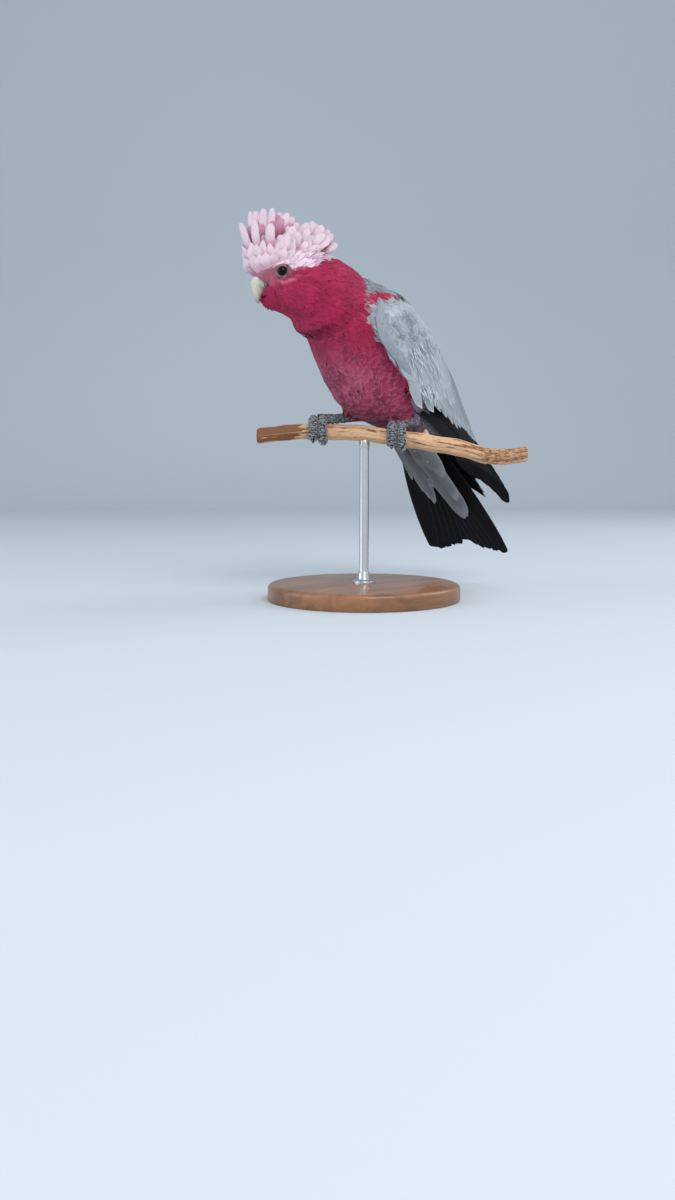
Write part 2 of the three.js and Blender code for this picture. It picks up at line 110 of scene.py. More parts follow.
def curve(places, share):
    """Points on a smooth curve through the places, at each share of the way."""
    places = np.asarray(places, float)
    padded = np.vstack([2 * places[0] - places[1], places, 2 * places[-1] - places[-2]])
    at = np.clip(np.asarray(share, float), 0, 1) * (len(places) - 1)
    step = np.minimum(at.astype(int), len(places) - 2)
    t = (at - step)[..., None]
    a, b, c, d = (padded[step + k] for k in range(4))
    return 0.5 * (2 * b + (c - a) * t + (2 * a - 5 * b + 4 * c - d) * t**2 + (3 * b - a - 3 * c + d) * t**3)


def world(places):
    """Millimetres from the grip, as metres in the frame."""
    return np.asarray(places, float) * MM + GRIP_MIDDLE


def from_world(points):
    return (np.asarray(points, float) - GRIP_MIDDLE) / MM


def centre_of(node):
    low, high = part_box(node)
    return (low + high) / 2


# The head's own frame: x ahead, y to its left, z up, in millimetres from between the eyes.
HEAD_PITCH = math.radians(6)
EYE_MIDDLE = (centre_of("eye_left") + centre_of("eye_right")) / 2
HEAD_LEFT = (centre_of("eye_left") - centre_of("eye_right")).normalized()
LEVEL_AHEAD = HEAD_LEFT.cross(Vector((0, 0, 1))).normalized()
HEAD_AHEAD = Matrix.Rotation(HEAD_PITCH, 3, HEAD_LEFT) @ LEVEL_AHEAD
HEAD_AXES = np.array([HEAD_AHEAD, HEAD_LEFT, HEAD_AHEAD.cross(HEAD_LEFT)])


def on_head(places):
    """Places in the head's own frame, as metres in the frame."""
    return np.asarray(EYE_MIDDLE) + (np.asarray(places, float) * MM) @ HEAD_AXES


def in_head(points):
    """Points of the frame, as millimetres in the head's own frame."""
    return (np.asarray(points, float) - np.asarray(EYE_MIDDLE)) @ HEAD_AXES.T / MM


# --- Meshes ---


def shown(name, mesh):
    """A smooth object of a mesh, in the scene."""
    mesh.polygons.foreach_set("use_smooth", np.ones(len(mesh.polygons), bool))
    obj = bpy.data.objects.new(name, mesh)
    bpy.context.scene.collection.objects.link(obj)
    return obj


def shaped(name, form):
    """A smooth object of a finished bmesh."""
    mesh = bpy.data.meshes.new(name)
    form.to_mesh(mesh)
    form.free()
    return shown(name, mesh)


def mesh_object(name, points, faces):
    mesh = bpy.data.meshes.new(name)
    mesh.from_pydata(np.asarray(points, float).reshape(-1, 3).tolist(), [], faces)
    return shown(name, mesh)


def values_of(items, field, width=3, kind=float):
    """One field of all the items of a mesh, as rows."""
    values = np.zeros(len(items) * width, kind)
    items.foreach_get(field, values)
    return values.reshape(-1, width)


def plan_of(form):
    """A bmesh's points and faces, as they are repeated in larger meshes."""
    form.verts.index_update()
    plan = np.array([vert.co[:] for vert in form.verts])
    faces = [[vert.index for vert in face.verts] for face in form.faces]
    form.free()
    return plan, faces


def tree_of(mesh, points=None):
    """A search tree of a mesh's faces, over its own or other points."""
    points = values_of(mesh.vertices, "co") if points is None else points
    return BVHTree.FromPolygons(points.tolist(), [face.vertices[:] for face in mesh.polygons])


def set_points(mesh, **layers):
    """Writes named attributes, each from one number or colour for each vertex."""
    for name, values in layers.items():
        values = np.asarray(values, np.float32)
        coloured = values.ndim == 2
        if coloured:
            values = np.concatenate([values, np.ones((len(values), 1), np.float32)], axis=1)
        layer = mesh.attributes.new(name, "FLOAT_COLOR" if coloured else "FLOAT", "POINT")
        layer.data.foreach_set("color" if coloured else "value", values.ravel())


def set_map(mesh, places):
    """Writes the map OFBake from one place for each vertex."""
    corners = values_of(mesh.loops, "vertex_index", 1, np.int32).ravel()
    layer = mesh.uv_layers.new(name="OFBake")
    layer.uv.foreach_set("vector", np.asarray(places, np.float32)[corners].ravel())


def settle(obj, slot, material, *nodes):
    """Gives a finished piece its material and body, and hides the parts that it stands for."""
    obj.data.materials.clear()
    obj.data.materials.append(material)
    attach(obj, "root")
    if nodes:
        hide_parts(*nodes)
    return obj


# --- Shaders ---


class Value:
    """A shader socket that takes part in arithmetic."""

    def __init__(self, shader, socket):
        self.shader = shader
        self.socket = socket

    def maths(self, operation, *terms):
        return self.shader.node("ShaderNodeMath", {"operation": operation}, dict(enumerate(terms)))

    def __add__(self, other):
        return self.maths("ADD", self, other)

    __radd__ = __add__

    def __sub__(self, other):
        return self.maths("SUBTRACT", self, other)

    def __rsub__(self, other):
        return self.maths("SUBTRACT", other, self)

    def __mul__(self, other):
        return self.maths("MULTIPLY", self, other)

    __rmul__ = __mul__

    def absolute(self):
        return self.maths("ABSOLUTE", self)

    def wave(self):
        return self.maths("SINE", self)

    def between(self, low, high):
        """0 below low and 1 above high, eased in between."""
        inputs = {"Value": self, "From Min": low, "From Max": high}
        return self.shader.node("ShaderNodeMapRange", {"interpolation_type": "SMOOTHSTEP"}, inputs)


class Shader:
    """The nodes of one material."""

    def __init__(self, name):
        self.material = bpy.data.materials.new(name)
        self.material.use_nodes = True
        self.tree = self.material.node_tree
        self.tree.nodes.clear()

    def node(self, kind, settings=None, inputs=None, output=0):
        made = self.tree.nodes.new(kind)
        for name, value in (settings or {}).items():
            setattr(made, name, value)
        for name, value in (inputs or {}).items():
            if isinstance(value, Value):
                self.tree.links.new(value.socket, made.inputs[name])
            else:
                made.inputs[name].default_value = value
        return Value(self, made.outputs[output]) if made.outputs else None

    def attribute(self, name, output="Fac"):
        return self.node("ShaderNodeAttribute", {"attribute_name": name}, output=output)

    def colour(self, name):
        return self.attribute(name, "Color")

    def joined(self, x, y, z=0.0):
        return self.node("ShaderNodeCombineXYZ", {}, {"X": x, "Y": y, "Z": z})

    def noise(self, place, scale, detail=3.0, roughness=0.6, distortion=0.0):
        inputs = {"Vector": place, "Scale": scale, "Detail": detail, "Roughness": roughness}
        return self.node("ShaderNodeTexNoise", {}, {**inputs, "Distortion": distortion}, output="Fac")

    def grain(self, scale, detail=3.0, stretch=(1, 1, 1), **more):
        """Noise over the object's own coordinates."""
        place = self.node("ShaderNodeTexCoord", output="Object")
        settings = {"vector_type": "POINT"}
        return self.noise(self.node("ShaderNodeMapping", settings, {"Vector": place, "Scale": stretch}),
                          scale, detail, **more)

    def mix(self, share, first, second, kind="MIX"):
        settings = {"data_type": "RGBA", "blend_type": kind, "clamp_factor": True}
        first, second = (value if isinstance(value, Value) else (*value, 1.0) for value in (first, second))
        return self.node("ShaderNodeMix", settings, {0: share, 6: first, 7: second}, output=2)

    def finish(self, base, roughness, height=None, depth=0.001, strength=1.0, **constants):
        """The surface: a varying colour and roughness, a bump in metres, and constants by socket name."""
        inputs = {"Base Color": base if isinstance(base, Value) else (*base, 1.0), "Roughness": roughness}
        if height is not None:
            bump = {"Height": height, "Distance": depth, "Strength": strength}
            inputs["Normal"] = self.node("ShaderNodeBump", {}, bump)
        inputs.update({name.replace("_", " "): value for name, value in constants.items()})
        surface = self.node("ShaderNodeBsdfPrincipled", {}, inputs)
        self.node("ShaderNodeOutputMaterial", {}, {"Surface": surface})
        return self.material


# --- Markings, with some painted light and shade: one set of functions colours the skin and the coat ---


def tint(red, green, blue):
    """A colour as an artist's 0 to 255 values, made linear."""
    share = np.array([red, green, blue]) / 255
    return tuple(np.where(share <= 0.04045, share / 12.92, ((share + 0.055) / 1.055) ** 2.4))


CRIMSON = tint(163, 35, 75)
ROSE = tint(154, 33, 70)
DUSTY = tint(176, 84, 112)
# A painted highlight: the bright crescent on the cheek below the eye.
CHEEK_HIGHLIGHT = tint(226, 128, 156)
MAUVE = tint(130, 42, 70)
BELLY = tint(104, 34, 58)
PALE = tint(231, 207, 220)
# Partly the cap's darker rear tone, partly painted shade among its ruffled feathers.
RUFFLE_SHADE = tint(172, 140, 164)
CAP_BASE = tint(176, 72, 112)
DEEP_ROSE = tint(132, 44, 76)
# Painted shade for the crease where the hood ends over the breast.
FOLD_SHADE = tint(98, 18, 42)
BROW = tint(158, 98, 112)
SEAM_ROSE = tint(160, 24, 60)
MANTLE = tint(126, 133, 140)
WING = tint(160, 170, 178)
WING_DARK = tint(98, 108, 118)
RUMP = tint(186, 192, 198)
VENT_GREY = tint(112, 117, 122)
THIGH = tint(130, 122, 136)
FLIGHT = tint(9, 10, 13)
FOOT_SKIN = tint(90, 92, 98)

# The solids that each region of the skin takes the place of.
FLESH = {
    **{name: [name] for name in ("head", "neck", "trunk", "back")},
    "thigh": ["thigh_left", "thigh_right"],
    "undertail": ["undertail_coverts"],
    "wing": ["wing_left_coverts", "wing_right_coverts"],
    "foot": [f"tarsus_{side}" for side in SIDES] + [f"toe_{n}_{side}" for side in SIDES for n in (1, 2, 3, 4)],
}
REGIONS = list(FLESH)
# How deep the coat of each region is, in millimetres.
COAT_DEPTH = [1.7, 2.6, 2.8, 2.6, 2.4, 3.2, 1.6, 0.15]

# The lower edge of the pale cap on the side of the head, in the head's frame.
CAP_EDGE_AHEAD = [-60, -46, -41.5, -37, -29.5, -23.5, -16, -10.5, -5.5, 0, 9, 18, 30]
CAP_EDGE_UP = [16, 12, 10, 8.5, 5, 2.5, 0.8, -0.5, 1.5, 3.5, 4.5, 5, 4]

# The seam between mantle and wing, from the shoulder back: rose shows in it.
SEAM_START = np.array([33.4, -23.8, 108.5])
SEAM_END = np.array([31.2, 11.1, 113.5])
SEAM_OUT = np.array([0.8, 0.3, 0.5])
# The hood ends over the breast in a soft crease on this plane.
CREASE = [-2.5, -35, 93]
CREASE_WAY = unit([0, 0.69, -0.724])
# The mantle rises behind the neck, about this place.
HUMP = np.array([0, -16.0, 117.0])
# Half the breadth and height of the bare ring round the eye.
EYE_RING = (7.4, 6.0)


def within(region, *names):
    """Whether each place is in one of some regions."""
    return np.isin(region, [REGIONS.index(name) for name in names])


def by_region(region, made, **choices):
    """Rows of values: what is chosen for the region of each place, or else the row that is made already."""
    for name, values in choices.items():
        chosen = within(region, name)
        made[chosen] = np.broadcast_to(values, made.shape)[chosen]
    return made


def mixed(first, second, share):
    """Blends rows of colours by a share for each row."""
    return blend(first, second, np.asarray(share, float)[:, None])


def patchy(points, size):
    """A smooth value from −1 to 1 that wanders over the body, with patches of a size in millimetres."""
    x, y, z = (from_world(points) / size).T
    first = np.sin(1.7 * x + 1.3 * y + 2.1) + np.sin(1.1 * y - 1.9 * z + 0.4) + np.sin(1.6 * z + 0.8 * x + 4.2)
    return np.sin(2.3 * first + 1.2 * x - 0.7 * y)


def cap_share(points):
    """How pale a place on the head is: 1 on the cap above the eye line, 0 on the cheeks."""
    ahead, left, up = in_head(points).T
    edge = np.interp(ahead, CAP_EDGE_AHEAD, CAP_EDGE_UP)
    wander = 1.2 * np.sin(ahead * 0.9 + left) + 0.8 * np.sin(left * 1.3 + up * 0.7)
    soft = blend(1.3, 4.5, smoothstep(7, 13, ahead))
    return smoothstep(-soft, soft, up - edge + 0.5 * wander) * smoothstep(-56, -44, ahead + wander)


def eye_gap(points):
    """How far a place is from the nearer eye, in millimetres, over an oval as wide as the bare ring."""
    spots = in_head(points)
    gaps = []
    for side in SIDES:
        eye = in_head(centre_of(f"eye_{side}"))
        off = (spots - eye) * [1, 1, EYE_RING[0] / EYE_RING[1]]
        same = np.sign(spots[:, 1]) == np.sign(eye[1])
        gaps.append(np.where(same, np.linalg.norm(off[:, [0, 2]], axis=1), 99))
    return np.minimum(*gaps)


def hood_colours(points, ahead, up, y):
    """The rose of the head and neck, with the pale cap, a painted highlight under the eye and painted shade in
    the crease at its end.
    """
    made = mixed(swatch("hood"), swatch("breast"), smoothstep(-20, -52, ahead) * 0.45)
    made = mixed(made, BROW, smoothstep(5, 12, ahead) * smoothstep(-12, -7, up) * 0.85)
    # A painted highlight in a crescent on the cheek below the eye.
    below = smoothstep(-2.5, -6, up) * smoothstep(9, 3, ahead) * smoothstep(-12, -5, ahead)
    made = mixed(made, CHEEK_HIGHLIGHT, bell(eye_gap(points) - 10.4, 1.7) * below * 0.6)
    # Towards the back the cap turns greyer in patches: partly its own tone, partly painted shade among ruffled
    # feathers.
    pale = mixed(swatch("crest"), RUFFLE_SHADE, smoothstep(6, -14, ahead) * (0.45 + 0.35 * patchy(points, 5)))
    made = mixed(made, pale, cap_share(points))
    # Painted shade along the crease where the hood ends over the breast.
    fold = bell((points - world(CREASE)) @ CREASE_WAY / MM, 4) * smoothstep(-22, -42, y)
    return mixed(made, FOLD_SHADE, fold * 0.5)


def breast_colours(points, x, y, z):
    """The rose of the breast, dusty in the middle, dark on the belly and grey at the vent."""
    made = mixed(swatch("breast"), MAUVE, smoothstep(70, 22, z + 0.35 * y) * 0.75)
    pallor = bell(z - 44, 17) * smoothstep(36, 8, np.abs(x)) * smoothstep(12, -14, y)
    made = mixed(made, DUSTY, pallor * (0.6 + 0.3 * patchy(points, 14)))
    made = mixed(made, BELLY, smoothstep(26, 6, z + 0.2 * y) * 0.8)
    return mixed(made, THIGH, smoothstep(24, 44, y) * smoothstep(30, 6, z))


def dorsal(spot, on_wing=False):
    """The greys of the back and wing at places in millimetres, with the rose seam between them."""
    mirrored = spot.copy()
    mirrored[:, 0] = np.abs(spot[:, 0])
    way = SEAM_END - SEAM_START
    off = mirrored - SEAM_START
    run = off @ way / (way @ way)
    across = np.cross(SEAM_OUT, way)
    below = off @ unit(across) * -np.sign(across[2])
    grey = mixed(swatch("mantle"), RUMP, smoothstep(58, 80, spot[:, 1]))
    wing = np.where(run > 1.15, np.asarray(on_wing, float), smoothstep(-1, 1, below))
    made = mixed(grey, swatch("wing"), wing)
    height = spot[:, 2]
    blotch = smoothstep(0.1, 0.9, patchy(world(mirrored), 9))
    blotch = blotch * smoothstep(105, 90, height) * smoothstep(52, 66, height)
    made = mixed(made, WING_DARK, blotch * wing * 0.5)
    seam = smoothstep(4.4, 2.8, np.abs(below)) * smoothstep(-0.3, 0.1, run) * smoothstep(1.05, 0.95, run)
    made = mixed(made, SEAM_ROSE, seam)
    dark = smoothstep(4.2, 3.0, np.abs(below)) * smoothstep(0.74, 0.84, run) * smoothstep(1.5, 1.35, run)
    return mixed(made, swatch("flight"), dark)


def plumage(points, region):
    """The colour of the plumage at each place, by the region of the body that it grows on."""
    spot = from_world(points)
    x, y, z = spot.T
    ahead, _, up = in_head(points).T
    hood, grey = hood_colours(points, ahead, up, y), dorsal(spot)
    over = y + 0.337 * np.abs(x) - 0.3 * z
    above = smoothstep(-3, 3, np.minimum(over + 48, (z + 1.07 * y - 55) * 0.6))
    behind = smoothstep(-3, 3, np.minimum(over + 51, z - 104))
    body = mixed(breast_colours(points, x, y, z), grey, above)
    return by_region(
        region, np.tile(THIGH, (len(points), 1)), head=hood, neck=mixed(hood, grey, behind), trunk=body,
        back=body, wing=dorsal(spot, within(region, "wing")), undertail=VENT_GREY, foot=FOOT_SKIN,
    )


def fringe_colours(points, region, colours):
    """The colour of each feather's edge."""
    low = smoothstep(86, 50, from_world(points)[:, 2])
    pale = tint(206, 212, 218)
    return by_region(
        region, colours * 1.12, trunk=mixed(colours * 1.1, tint(206, 128, 158), 0.42 * low),
        back=blend(colours, pale, 0.35), wing=blend(colours, pale, 0.6),
    ).clip(0, 1)


# --- Skin ---


class Skin:
    """The one skin under the coat, with what the feathers need to find their place on it."""

    def __init__(self, obj):
        mesh = obj.data
        mesh.calc_loop_triangles()
        self.object = obj
        self.points = values_of(mesh.vertices, "co")
        self.corners = values_of(mesh.loop_triangles, "vertices", 3, np.int32)
        loops = values_of(mesh.loop_triangles, "loops", 3, np.int32)
        self.places = values_of(mesh.uv_layers["OFBake"].uv, "vector", 2)[loops]
        self.region = values_of(mesh.attributes["region"].data, "value", 1, np.int32)[:, 0]
        self.tree = BVHTree.FromPolygons(self.points.tolist(), self.corners.tolist())

    def scatter(self, dice, count):
        """Random roots spread evenly over the skin: points, regions and places on its map."""
        a, b, c = (self.points[self.corners[:, k]] for k in range(3))
        area = np.linalg.norm(np.cross(b - a, c - a), axis=1)
        face = dice.choice(len(area), size=count, p=area / area.sum())
        first, second = dice.random((2, count, 1))
        flip = first + second > 1
        first, second = np.where(flip, 1 - first, first), np.where(flip, 1 - second, second)
        third = 1 - first - second
        p = self.places[face]
        points = a[face] * third + b[face] * first + c[face] * second
        places = p[:, 0] * third + p[:, 1] * first + p[:, 2] * second
        return points, self.region[self.corners[face, 0]], places

    def drape(self, points):
        """The nearest places on the skin, with its normals there."""
        found = np.zeros((len(points), 6))
        for index, point in enumerate(points.tolist()):
            place, normal, _, _ = self.tree.find_nearest(point)
            found[index] = (*place, *normal)
        return found[:, :3], found[:, 3:]

    def place_of(self, points):
        """The places on the skin's map that are nearest to some points."""
        faces = [self.tree.find_nearest(point)[2] for point in np.asarray(points, float).tolist()]
        return self.places[faces].mean(axis=1)


def joined_flesh(amount):
    """The facets of all flesh, moved out by an amount, as points, faces and the region of each face."""
    points, faces, owner = [], [], []
    for index, names in enumerate(FLESH.values()):
        for node in names:
            form = bmesh.new()
            form.from_mesh(NODES[node].data)
            bmesh.ops.remove_doubles(form, verts=form.verts, dist=1e-6)
            form.normal_update()
            for vert in form.verts:
                vert.co += vert.normal * amount
            places, polygons = plan_of(form)
            faces += [[len(points) + k for k in polygon] for polygon in polygons]
            points += places.tolist()
            owner += [index] * len(polygons)
    return points, faces, owner


def regions_of(points):
    """The region of the body that each point is nearest to."""
    corners, faces, owner = joined_flesh(0)
    tree = BVHTree.FromPolygons(corners, faces)
    return np.array([owner[tree.find_nearest(point)[2]] for point in points.tolist()], np.int32)


# How far out the flesh is moved before it is joined, so that thin parts last.
SKIN_ROOM = 0.45


def join_rough_skin(voxel):
    """The flesh joined in one closed mesh, a little larger than it is, and eased."""
    points, faces, _ = joined_flesh(SKIN_ROOM * MM)
    rough = mesh_object("rough_skin", points, faces)
    modifier = rough.modifiers.new("join", "REMESH")
    modifier.mode = "VOXEL"
    modifier.voxel_size = voxel
    softer = rough.modifiers.new("soften", "SMOOTH")
    softer.factor = 0.5
    softer.iterations = 9
    graph = bpy.context.evaluated_depsgraph_get()
    mesh = bpy.data.meshes.new_from_object(rough.evaluated_get(graph))
    bpy.data.objects.remove(rough)
    return shown("galah_skin", mesh)


def make_skin(voxel, fullness):
    """Joins the flesh nodes in one closed skin, smooths it and draws it in by the coat's depth."""
    obj = join_rough_skin(voxel)
    mesh = obj.data
    points, normals = values_of(mesh.vertices, "co"), values_of(mesh.vertices, "normal")
    region = regions_of(points)
    body = within(region, "head", "neck", "trunk", "back")
    spot = from_world(points)
    off = (points - world(CREASE)) @ CREASE_WAY / MM
    near = smoothstep(24, 10, np.abs(off)) * body * smoothstep(20, 0, spot[:, 1])
    near = near * smoothstep(-8, -16, in_head(points)[:, 0])
    hump = np.linalg.norm((spot - HUMP) / [1.7, 1, 1], axis=1)
    points += normals * (5.0 * MM * smoothstep(23, 5, hump) * body)[:, None]
    eased = np.stack([even_out(mesh, points[:, axis], 190) for axis in range(3)], axis=-1)
    bulge = ((eased - points) * normals).sum(-1).clip(0, 0.010)
    points += normals * (even_out(mesh, near, 10) * bulge)[:, None]
    depth = np.array(COAT_DEPTH)[region] * fullness
    ahead = in_head(points)[:, 0]
    depth = np.where(within(region, "head"), depth * blend(1, 0.55, smoothstep(2, 18, ahead)), depth)
    tree = tree_of(mesh, points)
    inward = zip(points - normals * 1e-5, -normals)
    thick = np.array([tree.ray_cast(Vector(start), Vector(way))[3] or 1.0 for start, way in inward])
    depth = even_out(mesh, np.minimum(depth, 0.3 * thick / MM), 12)
    points -= normals * ((depth + SKIN_ROOM) * MM)[:, None]
    mesh.vertices.foreach_set("co", points.ravel())
    mesh.update()
    mesh.attributes.new("region", "INT", "POINT").data.foreach_set("value", region)
    set_points(mesh, plumage=plumage(points, region))
    unwrap(obj)
    return Skin(obj)


def even_out(mesh, values, rounds):
    """Averages a value with its neighbours' along the mesh's edges."""
    a, b = values_of(mesh.edges, "vertices", 2, np.int32).T
    count = len(values)
    share = np.bincount(a, minlength=count) + np.bincount(b, minlength=count)
    for _ in range(rounds):
        total = np.bincount(a, values[b], count) + np.bincount(b, values[a], count)
        values = 0.5 * values + 0.5 * total / np.maximum(share, 1)
    return values


def unwrap(obj):
    """Gives a mesh the map OFBake, from the shape of its own surface."""
    for other in bpy.context.selected_objects:
        other.select_set(False)
    bpy.context.view_layer.objects.active = obj
    obj.select_set(True)
    obj.data.uv_layers.new(name="OFBake")
    bpy.ops.object.mode_set(mode="EDIT")
    bpy.ops.mesh.select_all(action="SELECT")
    bpy.ops.uv.smart_project(angle_limit=math.radians(72), island_margin=0.003)
    bpy.ops.object.mode_set(mode="OBJECT")
    obj.select_set(False)


# --- Feathers ---

# How large a patch of the map each vane or scale takes, the share of a vane's length at which its tip
# begins to narrow, and the most triangles in one piece.
MAP_PATCH = 0.003
TIP_START = 0.55
MOST_TRIANGLES = 190000


def vane_form(columns, rows):
    """A vane's plan, a thin closed lens of two grids joined at the rim, with x across and y along."""
    form = bmesh.new()
    bmesh.ops.create_grid(form, x_segments=columns, y_segments=rows, size=1)
    for vert in form.verts:
        vert.co.z = float(max(abs(vert.co.x), abs(vert.co.y)) < 0.999)
    copied = bmesh.ops.duplicate(form, geom=form.faces[:])["geom"]
    for item in copied:
        if isinstance(item, bmesh.types.BMVert):
            item.co.z = -item.co.z
    under = [item for item in copied if isinstance(item, bmesh.types.BMFace)]
    bmesh.ops.reverse_faces(form, faces=under)
    bmesh.ops.remove_doubles(form, verts=form.verts, dist=1e-4)
    return plan_of(form)


class Vanes:
    """Feather vanes of one plan, gathered as arrays and made into joined meshes."""

    def __init__(self, skin, dice, columns, rows):
        self.skin, self.dice = skin, dice
        plan, faces = vane_form(columns, rows)
        self.faces = np.array(faces)
        self.layer = plan[:, 2]
        spots, self.spot = np.unique(np.round(plan[:, :2], 4), axis=0, return_inverse=True)
        self.spot = self.spot.ravel()
        self.across = spots[:, 0]
        self.along = (spots[:, 1] + 1) / 2
        self.rim = np.maximum(np.abs(self.across), smoothstep(0.3, 1, self.along)) ** 3
        self.batches = []

    def outline(self, base, tip=0.32, start=TIP_START):
        """The share of the full half width at each place: narrow at the quill, rounded at the tip."""
        widening = blend(base, 1, smoothstep(0, 0.5, self.along))
        rounding = np.sqrt(1 - (1 - tip**2) * (np.clip(self.along - start, 0, 1) / (1 - start)) ** 2)
        return widening * rounding

    def luck(self, count, spread):
        """For each vane, a factor that is about one."""
        return 1 + self.dice.normal(0, spread, (count, 1))

    def tatters(self, count, amount):
        """How far the rim of each vane is torn, at each spot."""
        return self.dice.normal(0, 1, (count, len(self.along))) * amount * self.rim

    def add(self, middle, up, thick, colours, fringes, places):
        """Takes vanes as middles and normals at each spot of the plan, and what colours them."""
        count = len(middle)
        points = middle[:, self.spot] + up[:, self.spot] * (thick * self.layer)[:, None] * MM / 2
        patch = np.stack([self.across / 2, self.along - 0.5], axis=-1)[self.spot] * MAP_PATCH
        colours, fringes = (np.broadcast_to(values, (count, 3)).clip(0, 1) for values in (colours, fringes))
        self.batches.append((points, colours, fringes, places[:, None] + patch, self.dice.random(count)))

    def lay(self, roots, flow, sizes, colours, fringes, places):
        """Lays contour feathers. A row of sizes has a length, width, rise, stray, tatter and puff."""
        length, width, rise, stray, tatter, puff = sizes.T
        count, normal = len(roots), self.dice.normal
        _, normals = self.skin.drape(roots)
        flow = unit(flow - (flow * normals).sum(-1, keepdims=True) * normals)
        side = np.cross(normals, flow)
        turn = np.radians(normal(0, stray, count))[:, None]
        flow, side = flow * np.cos(turn) + side * np.sin(turn), side * np.cos(turn) - flow * np.sin(turn)
        length = length * (1 + normal(0, 0.14, count))
        half = width / 2 * (1 + normal(0, 0.12, count))
        ragged = self.tatters(count, tatter[:, None])
        run = self.along + ragged - 0.06 * self.across**2 * self.along
        reach = (length[:, None] * run)[..., None] * flow[:, None]
        breadth = (half[:, None] * (self.across * self.outline(0.4)) * (1 + ragged))[..., None] * side[:, None]
        flat = roots[:, None] + (reach + breadth) * MM
        place, up = (found.reshape(flat.shape) for found in self.skin.drape(flat.reshape(-1, 3)))
        lift = self.luck(count, 0.12)
        climb = rise[:, None] * self.along**1.3 * lift.clip(0.4, 1.8)
        climb = climb + puff[:, None] * self.along**4 * np.abs(lift)
        cup = -0.06 * half[:, None] * self.across**2 * self.along
        height = (climb + cup - 0.25).clip(-0.3, None)
        self.add(place + up * height[..., None] * MM, up, 0.2, colours, fringes, places)

    def lay_on_lines(
        self, centres, sides, ups, roots, half, colours, fringes, base=0.6, tip=0.35, start=TIP_START,
        camber=0.1, thick=0.5, ragged=0.3, point=1.0,
    ):
        """Vanes about lines. A vane has a centre for each spot of the plan, a side, an up and a half width."""
        count = len(centres)
        half = np.broadcast_to(half, count)[:, None] * self.outline(base, tip, start)
        sides, ups = (np.broadcast_to(ways[:, None], centres.shape) for ways in (sides, ups))
        back = self.tatters(count, ragged) - point * self.across**2 * smoothstep(0.6, 1, self.along)
        breadth, sag = half * self.across, -camber * half * self.across**2
        forward = np.cross(sides, ups)
        offset = sides * breadth[..., None] + ups * sag[..., None] + forward * back[..., None]
        places = self.skin.place_of(roots)
        self.add(centres + offset * MM, ups, thick, colours, fringes, places)

    def pieces(self, name, slot, material, *nodes):
        """Joins all that was added in as few meshes as their size allows."""
        points, colours, fringes, places, luck = (np.concatenate(parts) for parts in zip(*self.batches))
        chunks = max(1, math.ceil(len(points) / (MOST_TRIANGLES // (2 * len(self.faces)))))
        size, per_vane = len(self.spot), {"luck": luck, "plumage": colours, "fringe": fringes}
        for number, chosen in enumerate(np.array_split(np.arange(len(points)), chunks)):
            title = name if chunks == 1 else f"{name}_{number + 1}"
            obj = quad_object(title, points[chosen], self.faces, self.layer == 0)
            set_points(
                obj.data, along=np.tile(self.along[self.spot], len(chosen)),
                across=np.tile(self.across[self.spot], len(chosen)),
                **{label: np.repeat(values[chosen], size, axis=0) for label, values in per_vane.items()},
            )
            set_map(obj.data, places[chosen].reshape(-1, 2))
            settle(obj, slot, material, *nodes)


def quad_object(name, points, faces, rim):
    """Many like pieces in one object: points by piece, the quads of one, and which points are at its rim."""
    count, size = points.shape[:2]
    corners = (faces[None] + (np.arange(count) * size)[:, None, None]).ravel()
    mesh = bpy.data.meshes.new(name)
    mesh.vertices.add(count * size)
    mesh.vertices.foreach_set("co", points.astype(np.float32).ravel())
    mesh.loops.add(len(corners))
    mesh.loops.foreach_set("vertex_index", corners.astype(np.int32))
    mesh.polygons.add(len(corners) // 4)
    mesh.polygons.foreach_set("loop_start", np.arange(0, len(corners), 4, dtype=np.int32))
    mesh.update(calc_edges=True)
    edges = values_of(mesh.edges, "vertices", 2, np.int32)
    mesh.edges.foreach_set("use_edge_sharp", rim[edges % size].all(axis=1))
    return shown(name, mesh)


def thin_out(points, spacing, dice):
    """The indexes of points that are left when none is nearer to another than its spacing."""
    tree = KDTree(len(points))
    for index, point in enumerate(points.tolist()):
        tree.insert(point, index)
    tree.balance()
    free = np.ones(len(points), bool)
    kept = []
    for index in dice.permutation(len(points)).tolist():
        if free[index]:
            kept.append(index)
            for _, other, _ in tree.find_range(points[index].tolist(), float(spacing[index]) * MM):
                free[other] = False
    return np.array(kept)


# The way that the plumage lies: away from the bill on the head, then down the body's middle line.
BILL_ROOT = on_head([15, 0, -7])
LIE_LINE = [
    (-24, -67, 122), (-14, -48, 108), (-3, -28, 94), (0, -6, 70), (0, 20, 46), (0, 52, 14), (0, 100, -50),
]
WING_LINE = world([(18, -12, 111), (23, 4, 98), (24, 30, 78), (23, 50, 55), (22, 68, 32), (21, 92, 2)])


def along_line(points, line, softness):
    """The direction of a line near each point, eased from stretch to stretch."""
    middle = (line[1:] + line[:-1]) / 2
    way = unit(line[1:] - line[:-1])
    weight = bell(np.linalg.norm(points[:, None] - middle[None], axis=-1), softness * MM) + 1e-9
    return unit((weight[..., None] * way[None]).sum(1))


def lie_of(points):
    """The lie of the plumage at each place."""
    away = points - BILL_ROOT
    reach = np.linalg.norm(away, axis=1) / MM
    return unit(mixed(unit(away), along_line(points, world(LIE_LINE), 26), smoothstep(34, 66, reach)))


# --- Wings ---


